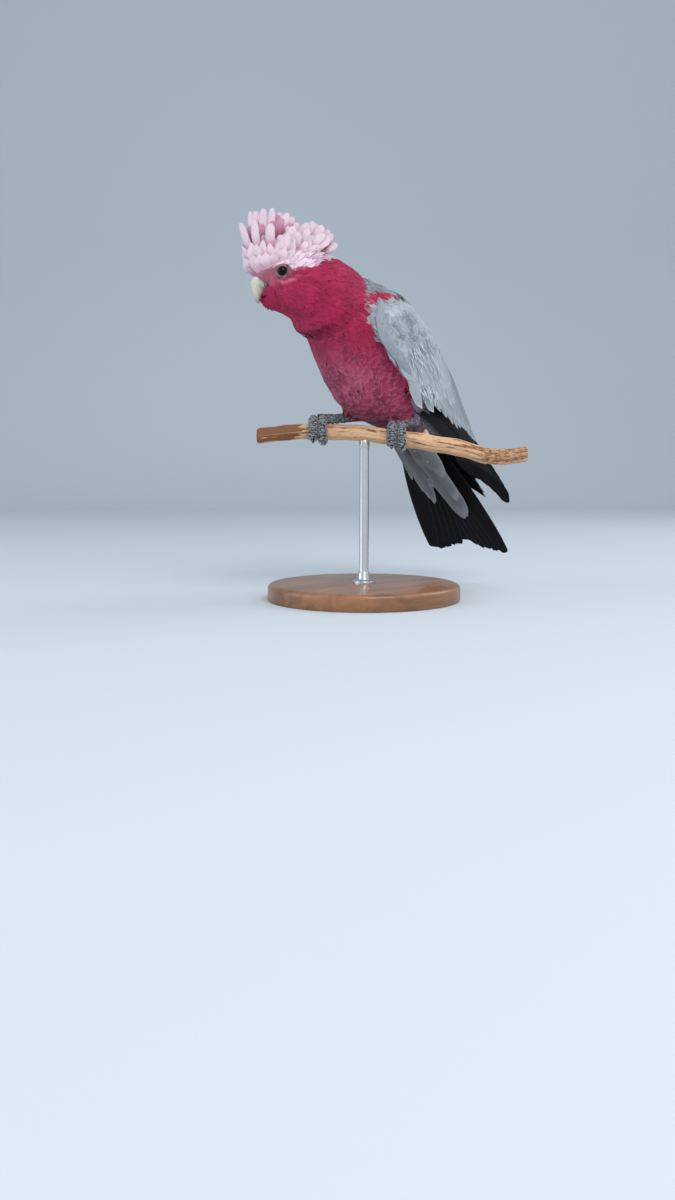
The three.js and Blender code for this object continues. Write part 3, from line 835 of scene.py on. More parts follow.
class Sheet:
    """A long arched surface between a leading and a trailing edge, one side of the folded wing."""

    FACING = np.array([0.8, 0.3, 0.5])
    SHOULDER = np.array([20.0, -20.0, 100.0])
    RIGHT_LIFT = Matrix.Rotation(math.radians(1.4), 3, "X")
    RIGHT_SWING = Matrix.Rotation(math.radians(-0.4), 3, "Z")

    def __init__(self, lead, trail, arch, thick, side):
        self.lead, self.trail, self.arch, self.thick, self.side = lead, trail, arch, thick, side

    def facing(self, first, second):
        """The direction square to two others, to the sheet's outer side."""
        normal = np.cross(first, second)
        return unit(normal * np.sign((normal * self.FACING).sum(-1, keepdims=True)))

    def middle(self, along, across, up):
        """Places on the left wing, in millimetres from the grip."""
        share = np.clip(along, 0, 1)
        lead, trail = curve(self.lead, share), curve(self.trail, share)
        centre, half = (lead + trail) / 2, (trail - lead) / 2
        nearby = np.clip(share + np.where(share > 0.5, -0.02, 0.02), 0, 1)
        way = (curve(self.lead, nearby) + curve(self.trail, nearby)) / 2 - centre
        way = way / (nearby - share)[..., None]
        swell = np.sqrt(np.clip(1 - across**2, 0, 1))
        rise = track(self.arch, share) * (1 - across**2) + track(self.thick, share) * swell + up
        return (
            centre + way * (along - share)[..., None] + half * across[..., None]
            + self.facing(way, half) * rise[..., None]
        )

    def half(self, along):
        share = np.clip(along, 0, 1)
        return np.linalg.norm(curve(self.trail, share) - curve(self.lead, share), axis=-1) / 2

    def at(self, along, across, up, step=0.01):
        """Places on this side's wing and the normals there, in metres."""
        along, across, up = np.broadcast_arrays(*(np.asarray(v, float) for v in (along, across, up)))
        here = self.middle(along, across, up)
        down = self.middle(along + step, across, up) - here
        over = self.middle(along, across + step, up) - here
        normal = self.facing(down, over)
        if self.side == "right":
            turn = np.array(self.RIGHT_SWING @ self.RIGHT_LIFT).T
            here = ((here - self.SHOULDER) @ turn + self.SHOULDER) * [-1, 1, 1]
            normal = normal @ turn * [-1, 1, 1]
        return world(here), normal


# The edges of the left wing's coverts, and of the quills beneath them.
COVER_LEAD = [(26, -26, 101), (36, -30, 84), (38.5, -20, 65), (39.5, -4, 48), (40, 13, 33), (38, 36, 14)]
COVER_TRAIL = [(10, 2, 121), (9, 38, 113), (7, 73, 90), (5, 101, 61), (4, 121, 30), (5, 148, -11)]
QUILL_LEAD = [(35, 27, 21), (35, 52, 12), (31, 82, -5), (29, 101, -23), (25, 140, -40), (17, 182, -61.5)]
QUILL_TRAIL = [(8, 94, 52), (7, 115, 30), (8, 133, 4), (9, 154, -20), (9, 175, -41), (12, 189, -60.5)]


def fan(
    vanes, sheet, count, roots, tips, width, up, colours, fringe, base=0.7, tip=0.3, uneven=0.008,
    ragged=0.006, point=0.012, stack=1.2, rise=0.8, sunk=0, root_dip=0, ridge=0, twist=0, tilt=0.4, cup=0.5,
):
    """A row of long feathers over a wing: its roots and tips as (along, across) for the first and last."""
    share = np.linspace(0, 1, count)
    start, end = curve(roots, share), curve(tips, share)
    end[:, 0] += vanes.dice.normal(0, uneven, count)
    down, over = vanes.along, vanes.across
    half = track(width, share)[:, None] / 2 * vanes.outline(base, tip)
    along = start[:, :1] + (end - start)[:, :1] * down + vanes.tatters(count, ragged)
    along = along - point * over**2 * smoothstep(0.6, 1, down)
    across = start[:, 1:] + (end - start)[:, 1:] * down
    across = across + over * half / np.maximum(sheet.half(along), 3)
    height = up - share[:, None] * stack + rise * (down - 0.5)
    height = height - sunk * smoothstep(0.62, 0.1, along) - root_dip * smoothstep(0.5, 0, down)
    height = height + ridge * smoothstep(0.35, 1, across) * smoothstep(0.3, 0.7, along)
    height = height + twist * over * smoothstep(0.55, 1, down) + tilt * over - cup * over**2
    middle, normal = sheet.at(along, across, height)
    places = vanes.skin.place_of(middle[:, len(down) // 2])
    vanes.add(middle, normal, 0.45, colours * vanes.luck(count, 0.05), fringe, places)


# --- Tail ---

# The tail hangs by this much from level, and has its own way back and upper side.
TAIL_DROP = math.radians(51.5)
TAIL_AXIS = np.array([0, math.cos(TAIL_DROP), -math.sin(TAIL_DROP)])
TAIL_UP = np.array([0, math.sin(TAIL_DROP), math.cos(TAIL_DROP)])
VENT = np.array([0, 55, 3.0])
TAIL_LENGTH = 144
TAIL_SPREAD = math.radians(12.2)


def lay_on_tail(vanes, rows, up, colours, fringe, **shape):
    """Vanes on the tail. A row has its place along, beside and above it, its lean, turn and half width."""
    outs, besides, lifts, leans, turns, halves = (np.array(part) for part in zip(*rows))
    centres = VENT + outs[..., None] * TAIL_AXIS + lifts[..., None] * TAIL_UP + besides[..., None] * LEFT
    leans, turns = leans[:, None], turns[:, None]
    ups = unit(up * TAIL_UP + leans * LEFT)
    sides = unit(np.cross(ups, np.cos(turns) * TAIL_AXIS + np.sin(turns) * LEFT))
    centres = world(centres)
    vanes.lay_on_lines(centres, sides, ups, centres[:, 0], halves, colours, fringe, **shape)


# --- Lofts ---


def loft(name, rings, ring_shaped=False):
    """A closed skin over rings of points, each bridged to the next, with its ends filled or joined."""
    form = bmesh.new()
    loops = []
    for ring in rings:
        verts = bmesh.ops.create_circle(form, segments=len(ring), radius=1)["verts"]
        for vert, place in zip(verts, ring):
            vert.co = place
        loops.append(list({edge for vert in verts for edge in vert.link_edges}))
    for first, second in zip(loops, loops[1:] + loops[:1] * ring_shaped):
        bmesh.ops.bridge_loops(form, edges=first + second)
    if not ring_shaped:
        bmesh.ops.holes_fill(form, edges=loops[0] + loops[-1], sides=0)
    bmesh.ops.recalc_face_normals(form, faces=form.faces)
    return shaped(name, form)


def round_the_clock(count):
    """Angles evenly all the way round."""
    return np.linspace(0, 2 * math.pi, count, endpoint=False)


def rings_about(line, side, share, half, front, back, around, ahead=None):
    """Rings of points about a line, with one half width at the sides and others before and behind."""
    centres, way = along_way(line, share, 0.01)
    outs = unit(np.cross(way, side))
    if ahead is not None:
        outs = outs * np.sign((outs * ahead).sum(-1, keepdims=True) + 1e-9)
    angle = round_the_clock(around)
    rise = np.where(np.sin(angle) > 0, front[:, None], back[:, None]) * np.sin(angle)
    reach = half[:, None] * np.cos(angle)
    return centres[:, None] + reach[..., None] * np.asarray(side) + rise[..., None] * outs[:, None]


def along_way(line, share, step):
    """Points along a line, and its direction there."""
    return line(share), unit(line(np.minimum(share + step, 1)) - line(np.maximum(share - step, 0)))


def rounded_shares(count, start, end):
    """Shares along a line, closer near both ends, with how full a rounded end is at each."""
    share = 0.5 - 0.5 * np.cos(np.linspace(0.05, math.pi - 0.05, count))
    full = np.ones(count)
    for length, gap in ((start, share), (end, 1 - share)):
        if length:
            full *= np.sqrt(1 - np.clip(1 - gap / length, 0, 1) ** 2)
    return share, np.maximum(full, 0.08)


# --- Crest ---

# Roots and tips in the head's frame.
FRONT_PETALS = [
    ([20, 1, 5], [29.5, 2, 42.5]), ([19, -3, 8], [21.5, -4, 52]), ([16, -5, 10], [17.5, -8, 52.5]),
    ([15, 5, 9], [18, 8, 42]), ([12, -1, 12], [10.5, -1, 52]), ([9, 0, 14], [3.5, 0, 51.5]),
    ([7, 6, 12], [5.5, 9, 38]), ([5, -4, 15], [-2, -6, 49]), ([2, 1, 16], [-8, 1, 46]),
    ([0, -3, 16], [-11.5, -4, 44]), ([-2, 5, 15], [-12.5, 7, 34]), ([-4, -1, 17], [-15.5, 2, 37.5]),
    ([-6, 3, 17], [-15.5, 4, 31.5]),
]
# Shorter petals of deep pink that show between the tall ones, and two at the nape.
DEEP_PETALS = [
    ([18, 0, 7], [23.5, 0, 40]), ([15, -2, 10], [18, -2, 43]), ([13, 1, 11], [13.5, 1, 40]),
    ([10, -2, 13], [8, -2, 42]), ([8, 2, 13], [4, 2, 41]), ([5, -2, 15], [0, -2, 46.5]),
    ([3, 3, 15], [-3, 4, 42]), ([1, -1, 16], [-6, -1, 42]), ([-1, 2, 16], [-10, 3, 38]),
    ([-8, 1, 17], [-17, 0, 31]),
]
NAPE_PETALS = [([-20, 4, 13], [-38, 4, 23]), ([-21, 4, 12], [-39, 5, 19])]
REAR_PETALS = [
    ([-12, -2, 17], [-19, -3, 36.5]), ([-14, 2, 17], [-23, 2, 37]), ([-15, 3, 16], [-27.5, 3, 37]),
    ([-16, -2, 16], [-30.5, -2, 36]), ([-17, 2, 16], [-35, 2, 33]), ([-19, -1, 15], [-39.5, -1, 30]),
    ([-20, 4, 14], [-40, 5, 23]), ([-21, 2, 14], [-42, 2, 25]), ([-23, -1, 13], [-44.5, -1, 18.5]),
]
BROW_PETALS = [
    ([21, 1, 3], [30, 2, 25.5]), ([21, 3, 2], [29.8, 3, 19]), ([21, 3, 3], [28.4, 4, 15]),
    ([19, 5, 6], [23.5, 7, 25]), ([15, 7, 5], [18.5, 10, 22]),
    ([12, 8, 7], [13.5, 11, 26]), ([8, 9, 7], [7.5, 12, 24]), ([5, 9, 8], [2, 12, 21]),
    ([2, 9, 9], [-2, 11, 25.5]), ([-1, 9, 10], [-7.5, 11, 27]), ([-4, 9, 10], [-12, 10, 24]),
    ([18, 6, 2], [23, 9, 16]), ([14, 8, 3], [17, 11, 16]), ([10, 9, 4], [11.5, 12, 18.5]),
    ([5, 10, 6], [5.5, 12.5, 16]), ([0, 10, 6], [-3.5, 12, 18]), ([-5, 10, 7], [-11, 12, 17]),
]
# How many degrees the short petals lean ahead, by how far ahead they grow.
LEAN_AHEAD = [-26, -18, -8, 4, 12, 20]
LEAN = [-74, -50, -16, -2, 6, 20]
PETAL_SHAPE = {
    "base": 0.62, "tip": 0.6, "start": 0.8, "camber": 0.09, "thick": 0.35, "ragged": 0.25, "point": 0.8,
}


def lay_petals(vanes, petals, half, loose, deep_share=1.0, colour=None, root=CAP_BASE, **shape):
    """Crest feathers standing from the crown, each from its root to its tip in the head's frame."""
    roots, tips = (np.array(part, float) for part in zip(*petals))
    count, normal = len(petals), vanes.dice.normal
    along = vanes.along[None, :, None]
    bow = normal(1.2, 0.5, (count, 1)) * [1, 0, 0]
    centre = roots[:, None] * (1 - along) + tips[:, None] * along + bow[:, None] * 4 * along * (1 - along)
    way = unit(tips - roots)
    foremost = smoothstep(16, 21, roots[:, 0]) * (np.abs(roots[:, 1]) < 4)
    forward = 0.15 + 0.9 * foremost + normal(0, loose, count)
    face = np.stack([forward, np.sign(tips[:, 1] + 0.1), np.zeros(count)], axis=-1)
    side = unit(np.cross(face, way))
    up = unit(np.cross(way, side))
    up *= np.sign((up * face).sum(-1, keepdims=True))
    pale = np.array(colour or swatch("crest")) * vanes.luck(count, 0.03)
    deep = blend(swatch("crest"), root, deep_share) * vanes.luck(count, 0.08)
    halves = half * vanes.luck(count, 0.05)[:, 0]
    vanes.lay_on_lines(
        on_head(centre), side @ HEAD_AXES, up @ HEAD_AXES, on_head(roots), halves, pale, deep,
        **{**PETAL_SHAPE, **shape},
    )


def short_petals(vanes, count, span, spread, length, inward=0.02):
    """Roots and tips of the shorter crest feathers that fill in round the tall ones."""
    made, dice = [], vanes.dice
    for number in range(count):
        ahead = blend(*span, (number + dice.random()) / count)
        left = (1 if number % 2 else -1) * dice.uniform(*spread)
        above = np.interp(ahead, [10, 22], [22, 12]) - 0.05 * left**2
        root = in_head(vanes.skin.drape(on_head([[ahead, left, above]]))[0])[0]
        lean = math.radians(np.interp(ahead, LEAN_AHEAD, LEAN) + dice.normal(0, 5))
        tip = root + dice.uniform(*length) * np.array([math.sin(lean), inward * left, math.cos(lean)])
        made.append((root - [0, 0, 1], tip))
    return made


def stirred(petals, dice):
    """Petals and their mirror images on the other side, each a little out of place."""
    roots, tips = (np.array(part, float) for part in zip(*petals))
    roots, tips = (np.concatenate([part, part * [1, -1, 1]]) for part in (roots, tips))
    return list(zip(roots, tips + dice.normal(0, [0.7, 0.4, 1.3], tips.shape)))


def raise_crest(skin, dice):
    """The crest: tall petals over a dense mass of shorter ones that grow from the brow and crown."""
    pointed = {"tip": 0.3, "start": 0.4}
    vanes = Vanes(skin, dice, 6, 13)
    lay_petals(vanes, DEEP_PETALS, 3.6, 0.12, colour=tint(206, 150, 178), root=DEEP_ROSE)
    lay_petals(vanes, NAPE_PETALS, 3.0, 0.12, colour=CAP_BASE, root=DEEP_ROSE, **pointed)
    vanes.pieces("crest_inner", "pale_crest", crest_material("crest_inside", 0.42))
    petals = crest_material("crest_petals", 0.15)
    vanes = Vanes(skin, dice, 6, 13)
    lay_petals(vanes, FRONT_PETALS, 3.5, 0.12)
    lay_petals(vanes, stirred(BROW_PETALS, dice), 4.9, 0.2, 0.45, tip=0.25, start=0.35, point=2.2)
    lay_petals(vanes, short_petals(vanes, 14, (19, -8), (1, 5), (14, 20)), 3.8, 0.2, 0.9)
    lay_petals(vanes, short_petals(vanes, 24, (20, -10), (4, 9), (10, 15)), 3.8, 0.2, 0.5)
    lay_petals(
        vanes, short_petals(vanes, 46, (20, -10), (7, 12), (8, 13), -0.02), 3.0, 0.3, 0.3, point=1.5, **pointed
    )
    vanes.pieces("crest_fan", "pale_crest", petals, "crest_front")
    vanes = Vanes(skin, dice, 6, 13)
    lay_petals(vanes, REAR_PETALS, 3.8, 0.3)
    lay_petals(vanes, short_petals(vanes, 20, (-8, -24), (1, 6), (13, 20)), 3.4, 0.5, 0.8)
    lay_petals(vanes, short_petals(vanes, 46, (-6, -28), (3, 11), (7, 14), -0.02), 2.8, 0.6, 0.5)
    vanes.pieces("crest_tuft", "pale_crest", petals, "crest_rear")


# --- Bridle: the small feathers that reach over the sides of the bill ---

# The tips of each tract, the middle that its feathers come from, their number and their half width:
# past the lores, round the cheek to the chin, and up the forehead.
BRIDLE = (
    (
        [(23.4, 2, 1.4), (21.4, 4, 0), (19, 5.4, -1.8), (16.4, 7, -4), (14, 8.2, -6.2), (13.8, 8.8, -9)],
        [9, 9, 3], 60, 1.4,
    ),
    (
        [(13.8, 9, -9.2), (16, 8.6, -10.8), (18, 7.6, -13), (19.4, 6.6, -15.2), (20.6, 5.4, -17.2),
         (20, 4, -19.8), (17.8, 3.4, -22.4), (15, 3, -24.4), (12, 2.6, -26.2)],
        [4, 11, -15], 110, 1.9,
    ),
    ([(28.6, 2, 11.5), (27.4, 3, 7), (25.6, 3.4, 3.6), (23.4, 2.6, 1)], [14, 3, 3], 46, 1.9),
)


def lay_bridle(skin, bills, dice):
    """Short feathers that reach forward from the lores, cheeks and chin over the sides of the bill."""
    trees = [skin.tree] + [tree_of(bill.data) for bill in bills]
    vanes = Vanes(skin, dice, 4, 6)
    for tips, centre, count, half in BRIDLE:
        for sign in (1, -1):
            share = (np.arange(count) + dice.random(count)) / count
            tip = curve(tips, share) + dice.normal(0, 0.35, (count, 3))
            back = dice.choice([0.0, 0.1, 0.22, 0.36], count, p=[0.4, 0.25, 0.2, 0.15])
            tip = mixed(tip, centre, back)
            root = blend(tip, centre, 0.6)
            mirror = [1, sign, 1]
            line = blend(root[:, None], tip[:, None], vanes.along[None, :, None]) * mirror
            line[..., 1] = outermost(trees, line, sign) + sign * (0.25 + 0.6 * vanes.along)
            up = unit(np.stack([0.3 + 0 * share, sign + 0 * share, -0.2 * (tip[:, 2] < -24)], axis=-1))
            side = unit(np.cross(up, (tip - root) * mirror))
            starts = on_head(root * mirror)
            colours = (plumage(starts, np.zeros(count, int)) * vanes.luck(count, 0.07)).clip(0, 1)
            vanes.lay_on_lines(
                on_head(line), side @ HEAD_AXES, up @ HEAD_AXES, starts, half, colours, colours * 1.1,
                base=0.5, tip=0.4, camber=0.2, thick=0.2, ragged=0.15, point=0.6,
            )
    vanes.pieces("coat_bridle", "rose_plumage", feathers("soft_feathers"))


def outermost(trees, places, sign):
    """How far out to one side of the head's middle the surfaces of some trees reach at each place."""
    inward = Vector(-sign * HEAD_AXES[1])
    reach = places[..., 1].copy()
    for spot in np.ndindex(reach.shape):
        start = on_head(places[spot] * [1, 0, 1] + [0, 30.0 * sign, 0])
        hits = [tree.ray_cast(start.tolist(), inward, 0.03)[3] for tree in trees]
        hits = [hit / MM for hit in hits if hit is not None]
        if hits:
            reach[spot] = sign * (30 - min(hits))
    return reach


# --- Bill and eyes ---

# Each half of the bill: its line in the head's frame, its half widths and how far it reaches before and
# behind that line along the way, how blunt it ends, and the solid it stands for.
BILL = {
    "upper_bill": (
        [(10, 0, -3.5), (16.6, 0, -2), (21.8, 0, -5), (23.4, 0, -11.6), (22.6, 0, -20)],
        ([7.4, 7.4, 6.2, 4, 0.8], [7, 7, 5.6, 3.8, 0.9], [8, 9, 8.2, 6.6, 0.9]), 0.1, "bill_upper",
    ),
    "lower_bill": (
        [(6, 0, -16), (13, 0, -18), (19.5, 0, -18.5)],
        ([6, 6, 4.5], [4, 4, 3.2], [4, 4, 3]), 0.2, "bill_lower",
    ),
}


def bill_half(name, places, sizes, end, node, material, around=28):
    """One half of the bill, lofted along its curve."""
    share, full = rounded_shares(26, 0, end)
    sizes = [track(values, share) * full * MM for values in sizes]
    places = on_head(places)
    rings = rings_about(lambda at: curve(places, at), HEAD_AXES[1], share, *sizes, around, HEAD_AXES[0])
    obj = loft(name, rings)
    set_points(obj.data, reach=np.repeat(share, around))
    return settle(obj, "bill_horn", material, node)


def make_eye(side, material):
    """An eyeball with the places of its pupil and iris kept as the angle from its outward axis."""
    low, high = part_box(f"eye_{side}")
    centre, radius = centre_of(f"eye_{side}"), max(high - low) / 2
    outward = unit(HEAD_AXES[1] * (1 if side == "left" else -1) + 0.18 * HEAD_AXES[0])
    form = bmesh.new()
    bmesh.ops.create_uvsphere(form, u_segments=40, v_segments=24, radius=radius)
    turn = Vector(outward).to_track_quat("Z", "Y").to_matrix()
    for vert in form.verts:
        angle = vert.co.normalized().angle(Vector((0, 0, 1)))
        vert.co *= 1 + 0.05 * bell(angle, 0.55)
        vert.co = turn @ vert.co + centre
    obj = shaped(f"eyeball_{side}", form)
    off = unit(values_of(obj.data.vertices, "co") - np.array(centre))
    set_points(obj.data, gaze=np.degrees(np.arccos((off @ outward).clip(-1, 1))))
    return settle(obj, "eye", material, f"eye_{side}")


EYE_OPENING = (4.05, 3.75)
BALL_RADIUS = 4.75


def make_eye_ring(side, skin, material):
    """The bare wrinkled skin round an eye, from its lid's edge out to the feathers."""
    sign = 1 if side == "left" else -1
    centre = in_head(centre_of(f"eye_{side}"))
    angle = round_the_clock(72)
    outward = HEAD_AXES[1] * sign

    def oval(size, share, out):
        wide, tall = (share * half for half in size)
        return centre + np.stack([wide * np.cos(angle), sign * out + 0 * angle, tall * np.sin(angle)], axis=-1)

    rings, creases = [on_head(oval(EYE_OPENING, 0.93, 0.6))], [0 * angle]
    for step in np.linspace(0, 1, 15):
        places = oval(blend(EYE_OPENING, EYE_RING, step), 1, 0)
        off = (places - centre)[:, [0, 2]]
        ball = np.sqrt(np.maximum(BALL_RADIUS**2 - (off**2).sum(1), 0))
        heights = []
        for place, lid in zip(on_head(places), ball):
            hit = skin.tree.ray_cast(Vector(place + outward * 0.03), Vector(-outward))[0]
            ground = (np.array(hit) - place) @ outward / MM if hit else 0
            heights.append(blend(max(lid, ground), ground + 0.35, smoothstep(0.1, 0.75, step)))
        fold = 0.16 * np.sin(step * 21 + 2.2 * np.sin(angle * 3)) + 0.12 * np.sin(angle * 23 + step * 7)
        lip = 0.45 * bell(step - 0.12, 0.1)
        rise = np.array(heights) + lip + fold * smoothstep(0, 0.25, step) * smoothstep(1, 0.8, step)
        rise = rise - 0.9 * (step == 1)
        rings.append(on_head(places + rise[:, None] * [0, sign, 0]))
        creases.append(fold + 2.2 * lip)
    obj = loft(f"eye_ring_{side}", [*rings, on_head(oval(EYE_RING, 0.8, -1.5))], ring_shaped=True)
    set_points(obj.data, crease=np.concatenate([*creases, 0 * angle]))
    set_map(obj.data, skin.place_of(values_of(obj.data.vertices, "co")))
    return settle(obj, None, material)


# --- Perch and feet ---

PERCH_LINE = [
    (-90, -2), (-54, 1.5), (-27, 1), (0, 0), (28, -4), (55, -8), (80, -12), (100, -18), (119, -19.5),
    (136, -17),
]
PERCH_ALONG = np.array([math.cos(PERCH_TURN), math.sin(PERCH_TURN), 0])
PERCH_OUT = np.array([math.sin(PERCH_TURN), -math.cos(PERCH_TURN), 0])
TOE_RADIUS = 3.3
TOE_RING = PERCH_RADIUS + TOE_RADIUS + 0.6
TOE_START = 74
# Each toe's place beside the middle of the foot, its lean, which side it grips and how far round.
TOES = {2: (-3.7, -0.6, 1, 112), 3: (3.7, 0.4, 1, 126), 1: (-3.7, -1, -1, 84), 4: (3.7, 1.5, -1, 94)}
# Where each foot grips, along the perch, and where its shank leaves the body.
GRIP = {"right": -38.5, "left": 27}
ANKLE = {"right": (-14, 1, 12.5), "left": (26, 37, 11)}


def on_perch(along, out, up):
    """Places by the perch, in metres: along it, out to the bird's front, and up."""
    along, out, up = np.broadcast_arrays(*(np.asarray(v, float)[..., None] for v in (along, out, up)))
    return world(along * PERCH_ALONG + out * PERCH_OUT + up * UPRIGHT)


def perch_rise(along):
    """The height of the perch's middle line at a place along it."""
    line = curve(PERCH_LINE, np.linspace(0, 1, 200))
    return np.interp(along, line[:, 0], line[:, 1])


def curl(along, lean, front, start, reach, radius):
    """A line round the perch, from an angle up on one side and down by the reach."""

    def line(share):
        angle = np.radians(start - reach * share)
        place = along + lean * share
        return on_perch(place, front * radius * np.cos(angle), perch_rise(place) + radius * np.sin(angle))

    return line


def scale_form():
    """A low dome for one scale, with x across, y along and z out."""
    form = bmesh.new()
    bmesh.ops.create_uvsphere(form, u_segments=8, v_segments=6, radius=1)
    bmesh.ops.bisect_plane(
        form, geom=form.verts[:] + form.edges[:] + form.faces[:], plane_co=(0, 0, -0.3), plane_no=(0, 0, -1),
        clear_outer=True,
    )
    bmesh.ops.holes_fill(form, edges=[edge for edge in form.edges if edge.is_boundary], sides=0)
    bmesh.ops.triangulate(form, faces=form.faces)
    return plan_of(form)


def scales_along(line, radius, rows, out_of, dice, wide):
    """Where the scales of one toe or shank sit: plates on its back, and small ones beside and beneath."""
    centres, way = along_way(line, (np.arange(rows) + 0.5) / rows, 0.02)
    pitch = max(np.linalg.norm(centres[1] - centres[0]) / MM, 1.0)
    made = []
    for row, (centre, ahead) in enumerate(zip(centres, way)):
        out = out_of(centre)
        out = unit(out - (out @ ahead) * ahead)
        across = np.cross(ahead, out)
        shift = 15 if row % 2 else -15
        small = [(side * degrees + shift, 1.3, 0.85) for side in (-1, 1) for degrees in (44, 76, 108, 142)]
        for degrees, breadth, lift in [(0.5 * shift, wide, 0.9)] + small:
            turn = math.radians(degrees + dice.normal(0, 7))
            up = out * math.cos(turn) + across * math.sin(turn)
            place = centre + up * (radius - 0.25 + dice.normal(0, 0.12)) * MM
            place = place + ahead * dice.normal(0, 0.35) * MM
            size = np.array([breadth, pitch * 0.66, lift]) * (1 + dice.normal(0, 0.14, 3))
            made.append((place, np.cross(ahead, up), ahead, up, size))
    return made


def make_scales(name, spots, skin, dice, material):
    """Joins scales in one mesh."""
    plan, faces = scale_form()
    place, beside, ahead, up, size = (np.array(part) for part in zip(*spots))
    axes = np.stack([beside, ahead, up], axis=1)
    points = place[:, None] + np.einsum("nkc,ncd->nkd", plan[None] * size[:, None] * MM, axes)
    count, each = len(spots), len(plan)
    joined = [[k + first for k in face] for first in range(0, count * each, each) for face in faces]
    obj = mesh_object(name, points, joined)
    set_points(obj.data, height=np.tile(plan[:, 2], count), luck=np.repeat(dice.random(count), each))
    set_map(obj.data, (skin.place_of(place)[:, None] + plan[None, :, :2] * MAP_PATCH / 2).reshape(-1, 2))
    return settle(obj, "foot_scales", material)


def make_foot(side, rows, skin, dice, scale, horn):
    """The scales and claws of one foot."""
    spots = []
    for number, (beside, lean, front, reach) in TOES.items():
        place = GRIP[side] + beside
        axis = on_perch(place, 0, perch_rise(place))

        def from_axis(point, axis=axis):
            away = point - axis
            return away - (away @ PERCH_ALONG) * PERCH_ALONG

        line = curl(place, lean, front, TOE_START, reach, TOE_RING)
        spots += scales_along(line, TOE_RADIUS + 0.25, rows, from_axis, dice, 1.8)
        make_claw(side, number, horn)
    ankle = np.array(ANKLE[side], float)
    end = from_world(on_perch(GRIP[side], 0, perch_rise(GRIP[side]) + TOE_RING))
    shank = world([ankle + [0, 1, 2], blend(ankle, end, 0.5), end])
    spots += scales_along(lambda share: curve(shank, share), 3.7, rows - 1, lambda point: UPRIGHT, dice, 1.9)
    make_scales(f"toe_scales_{side}", spots, skin, dice, scale)


def make_claw(side, number, material):
    """A claw curving on round the perch from the end of its toe."""
    beside, lean, front, reach = TOES[number]
    line = curl(GRIP[side] + beside + lean, 0, front, TOE_START - reach - 2, 48, TOE_RING - 1.2)
    share, full = rounded_shares(14, 0.12, 0.1)
    half = track([2.1, 1.7, 1.1, 0.35], share) * full * MM
    rings = rings_about(line, PERCH_ALONG, share, half * 0.85, half, half, 14)
    return settle(loft(f"claw_horn_{number}_{side}", rings), "claw_horn", material, f"claw_{number}_{side}")


def make_perch(material, dice):
    """The branch: its bark in long ridges, a spur on top, and two sawn ends."""
    around, rows = 56, 190
    share = np.linspace(0, 1, rows)
    line = curve(PERCH_LINE, share)
    along, radius = line[:, :1], track([6.4, 6.6, 6.6, 6.8, 7.2, 6.8, 6.3], share)[:, None]
    angle = round_the_clock(around)
    waves = dice.uniform(0, 2 * math.pi, 12)
    ridge = 0.16 * np.sin(angle * 7 + along * 0.035 + waves[0])
    ridge = ridge + 0.13 * np.sin(angle * 12 - along * 0.06 + waves[1])
    ridge = ridge + 0.10 * np.sin(angle * 19 + along * 0.11 + waves[2]) * np.sin(along * 0.09 + waves[3])
    lumps = 0.28 * np.sin(along * 0.13 + waves[4]) * np.sin(angle + waves[5])
    lumps = lumps + 0.2 * np.sin(along * 0.31 + angle * 2)
    flaky = 0.45 * smoothstep(88, 104, along)
    bark = flaky * np.sin(along * 1.1 + 3 * np.sin(angle * 3 + waves[6])) * np.sin(angle * 5 + along * 0.4)
    spur = (4.2 * bell(along - 51.5, 1.7) + 1.1 * bell(along - 47, 6)) * bell(angle - math.pi / 2, 0.5)
    scar = 0.8 * bell(angle - 2.2, 0.5) * bell(along + 66, 4)
    clear = np.minimum(*(smoothstep(6, 12, np.abs(along - place)) for place in GRIP.values()))
    size = radius - 0.25 + (ridge + lumps + bark + scar) * blend(0.35, 1, clear) + spur
    ends = np.sqrt(1 - np.clip(1 - np.minimum(share, 1 - share) / 0.004, 0, 1) ** 2)
    size = size * np.maximum(ends, 0.86)[:, None]
    rings = on_perch(along + 0 * angle, size * np.cos(angle), line[:, 1:] + size * np.sin(angle))
    obj = loft("branch", rings)
    set_points(obj.data, along=np.repeat(line[:, 0], around), around=np.tile(angle, rows))
    return settle(obj, "peeled_branch", material, "perch")


# --- Where the coat grows ---

# How far apart the feathers of a region are, and then their length, width, rise, stray, tatter and puff.
NECK_COAT = [2.0, 10, 4.8, 0.7, 7, 0.055, 0.1]
BACK_COAT = [3.4, 14, 8, 1.1, 7, 0.04, 0.1]
THIGH_COAT = [2.6, 12, 5.2, 1.8, 12, 0.09, 1.0]
WING_COAT = [2.9, 11.5, 6.4, 0.5, 7, 0.03, 0.1]


def tract_sizes(points, region):
    """The spacing of the feathers at each place, and then their sizes as Vanes.lay reads them."""
    away = np.linalg.norm(points - BILL_ROOT, axis=1) / MM
    pale, plain = cap_share(points), np.ones(len(points))
    low = smoothstep(80, 30, from_world(points)[:, 2])
    face = [
        np.interp(away, [6, 22, 50], [1.2, 1.7, 2.1]) * blend(1, 1.25, pale),
        np.interp(away, [4, 12, 24, 50], [2.6, 4.2, 6.6, 9]) * blend(1, 2.0, pale),
        np.interp(away, [4, 22, 50], [1.7, 2.9, 3.8]) * blend(1, 1.6, pale),
        np.interp(away, [4, 22, 50], [0.3, 0.45, 0.6]) * blend(1, 3.4, pale),
        6 * plain, 0.05 * plain, 0.1 * plain,
    ]
    breast = [blend(2.3, 3.3, low), blend(11, 16.5, low), blend(6.6, 12, low), blend(0.5, 1.05, low)]
    breast += [11 * plain, 0.055 * plain, 0.12 * plain]
    return by_region(
        region, np.ones((len(points), 7)), head=np.transpose(face), neck=NECK_COAT, trunk=np.transpose(breast),
        back=BACK_COAT, thigh=THIGH_COAT, wing=WING_COAT,
    )


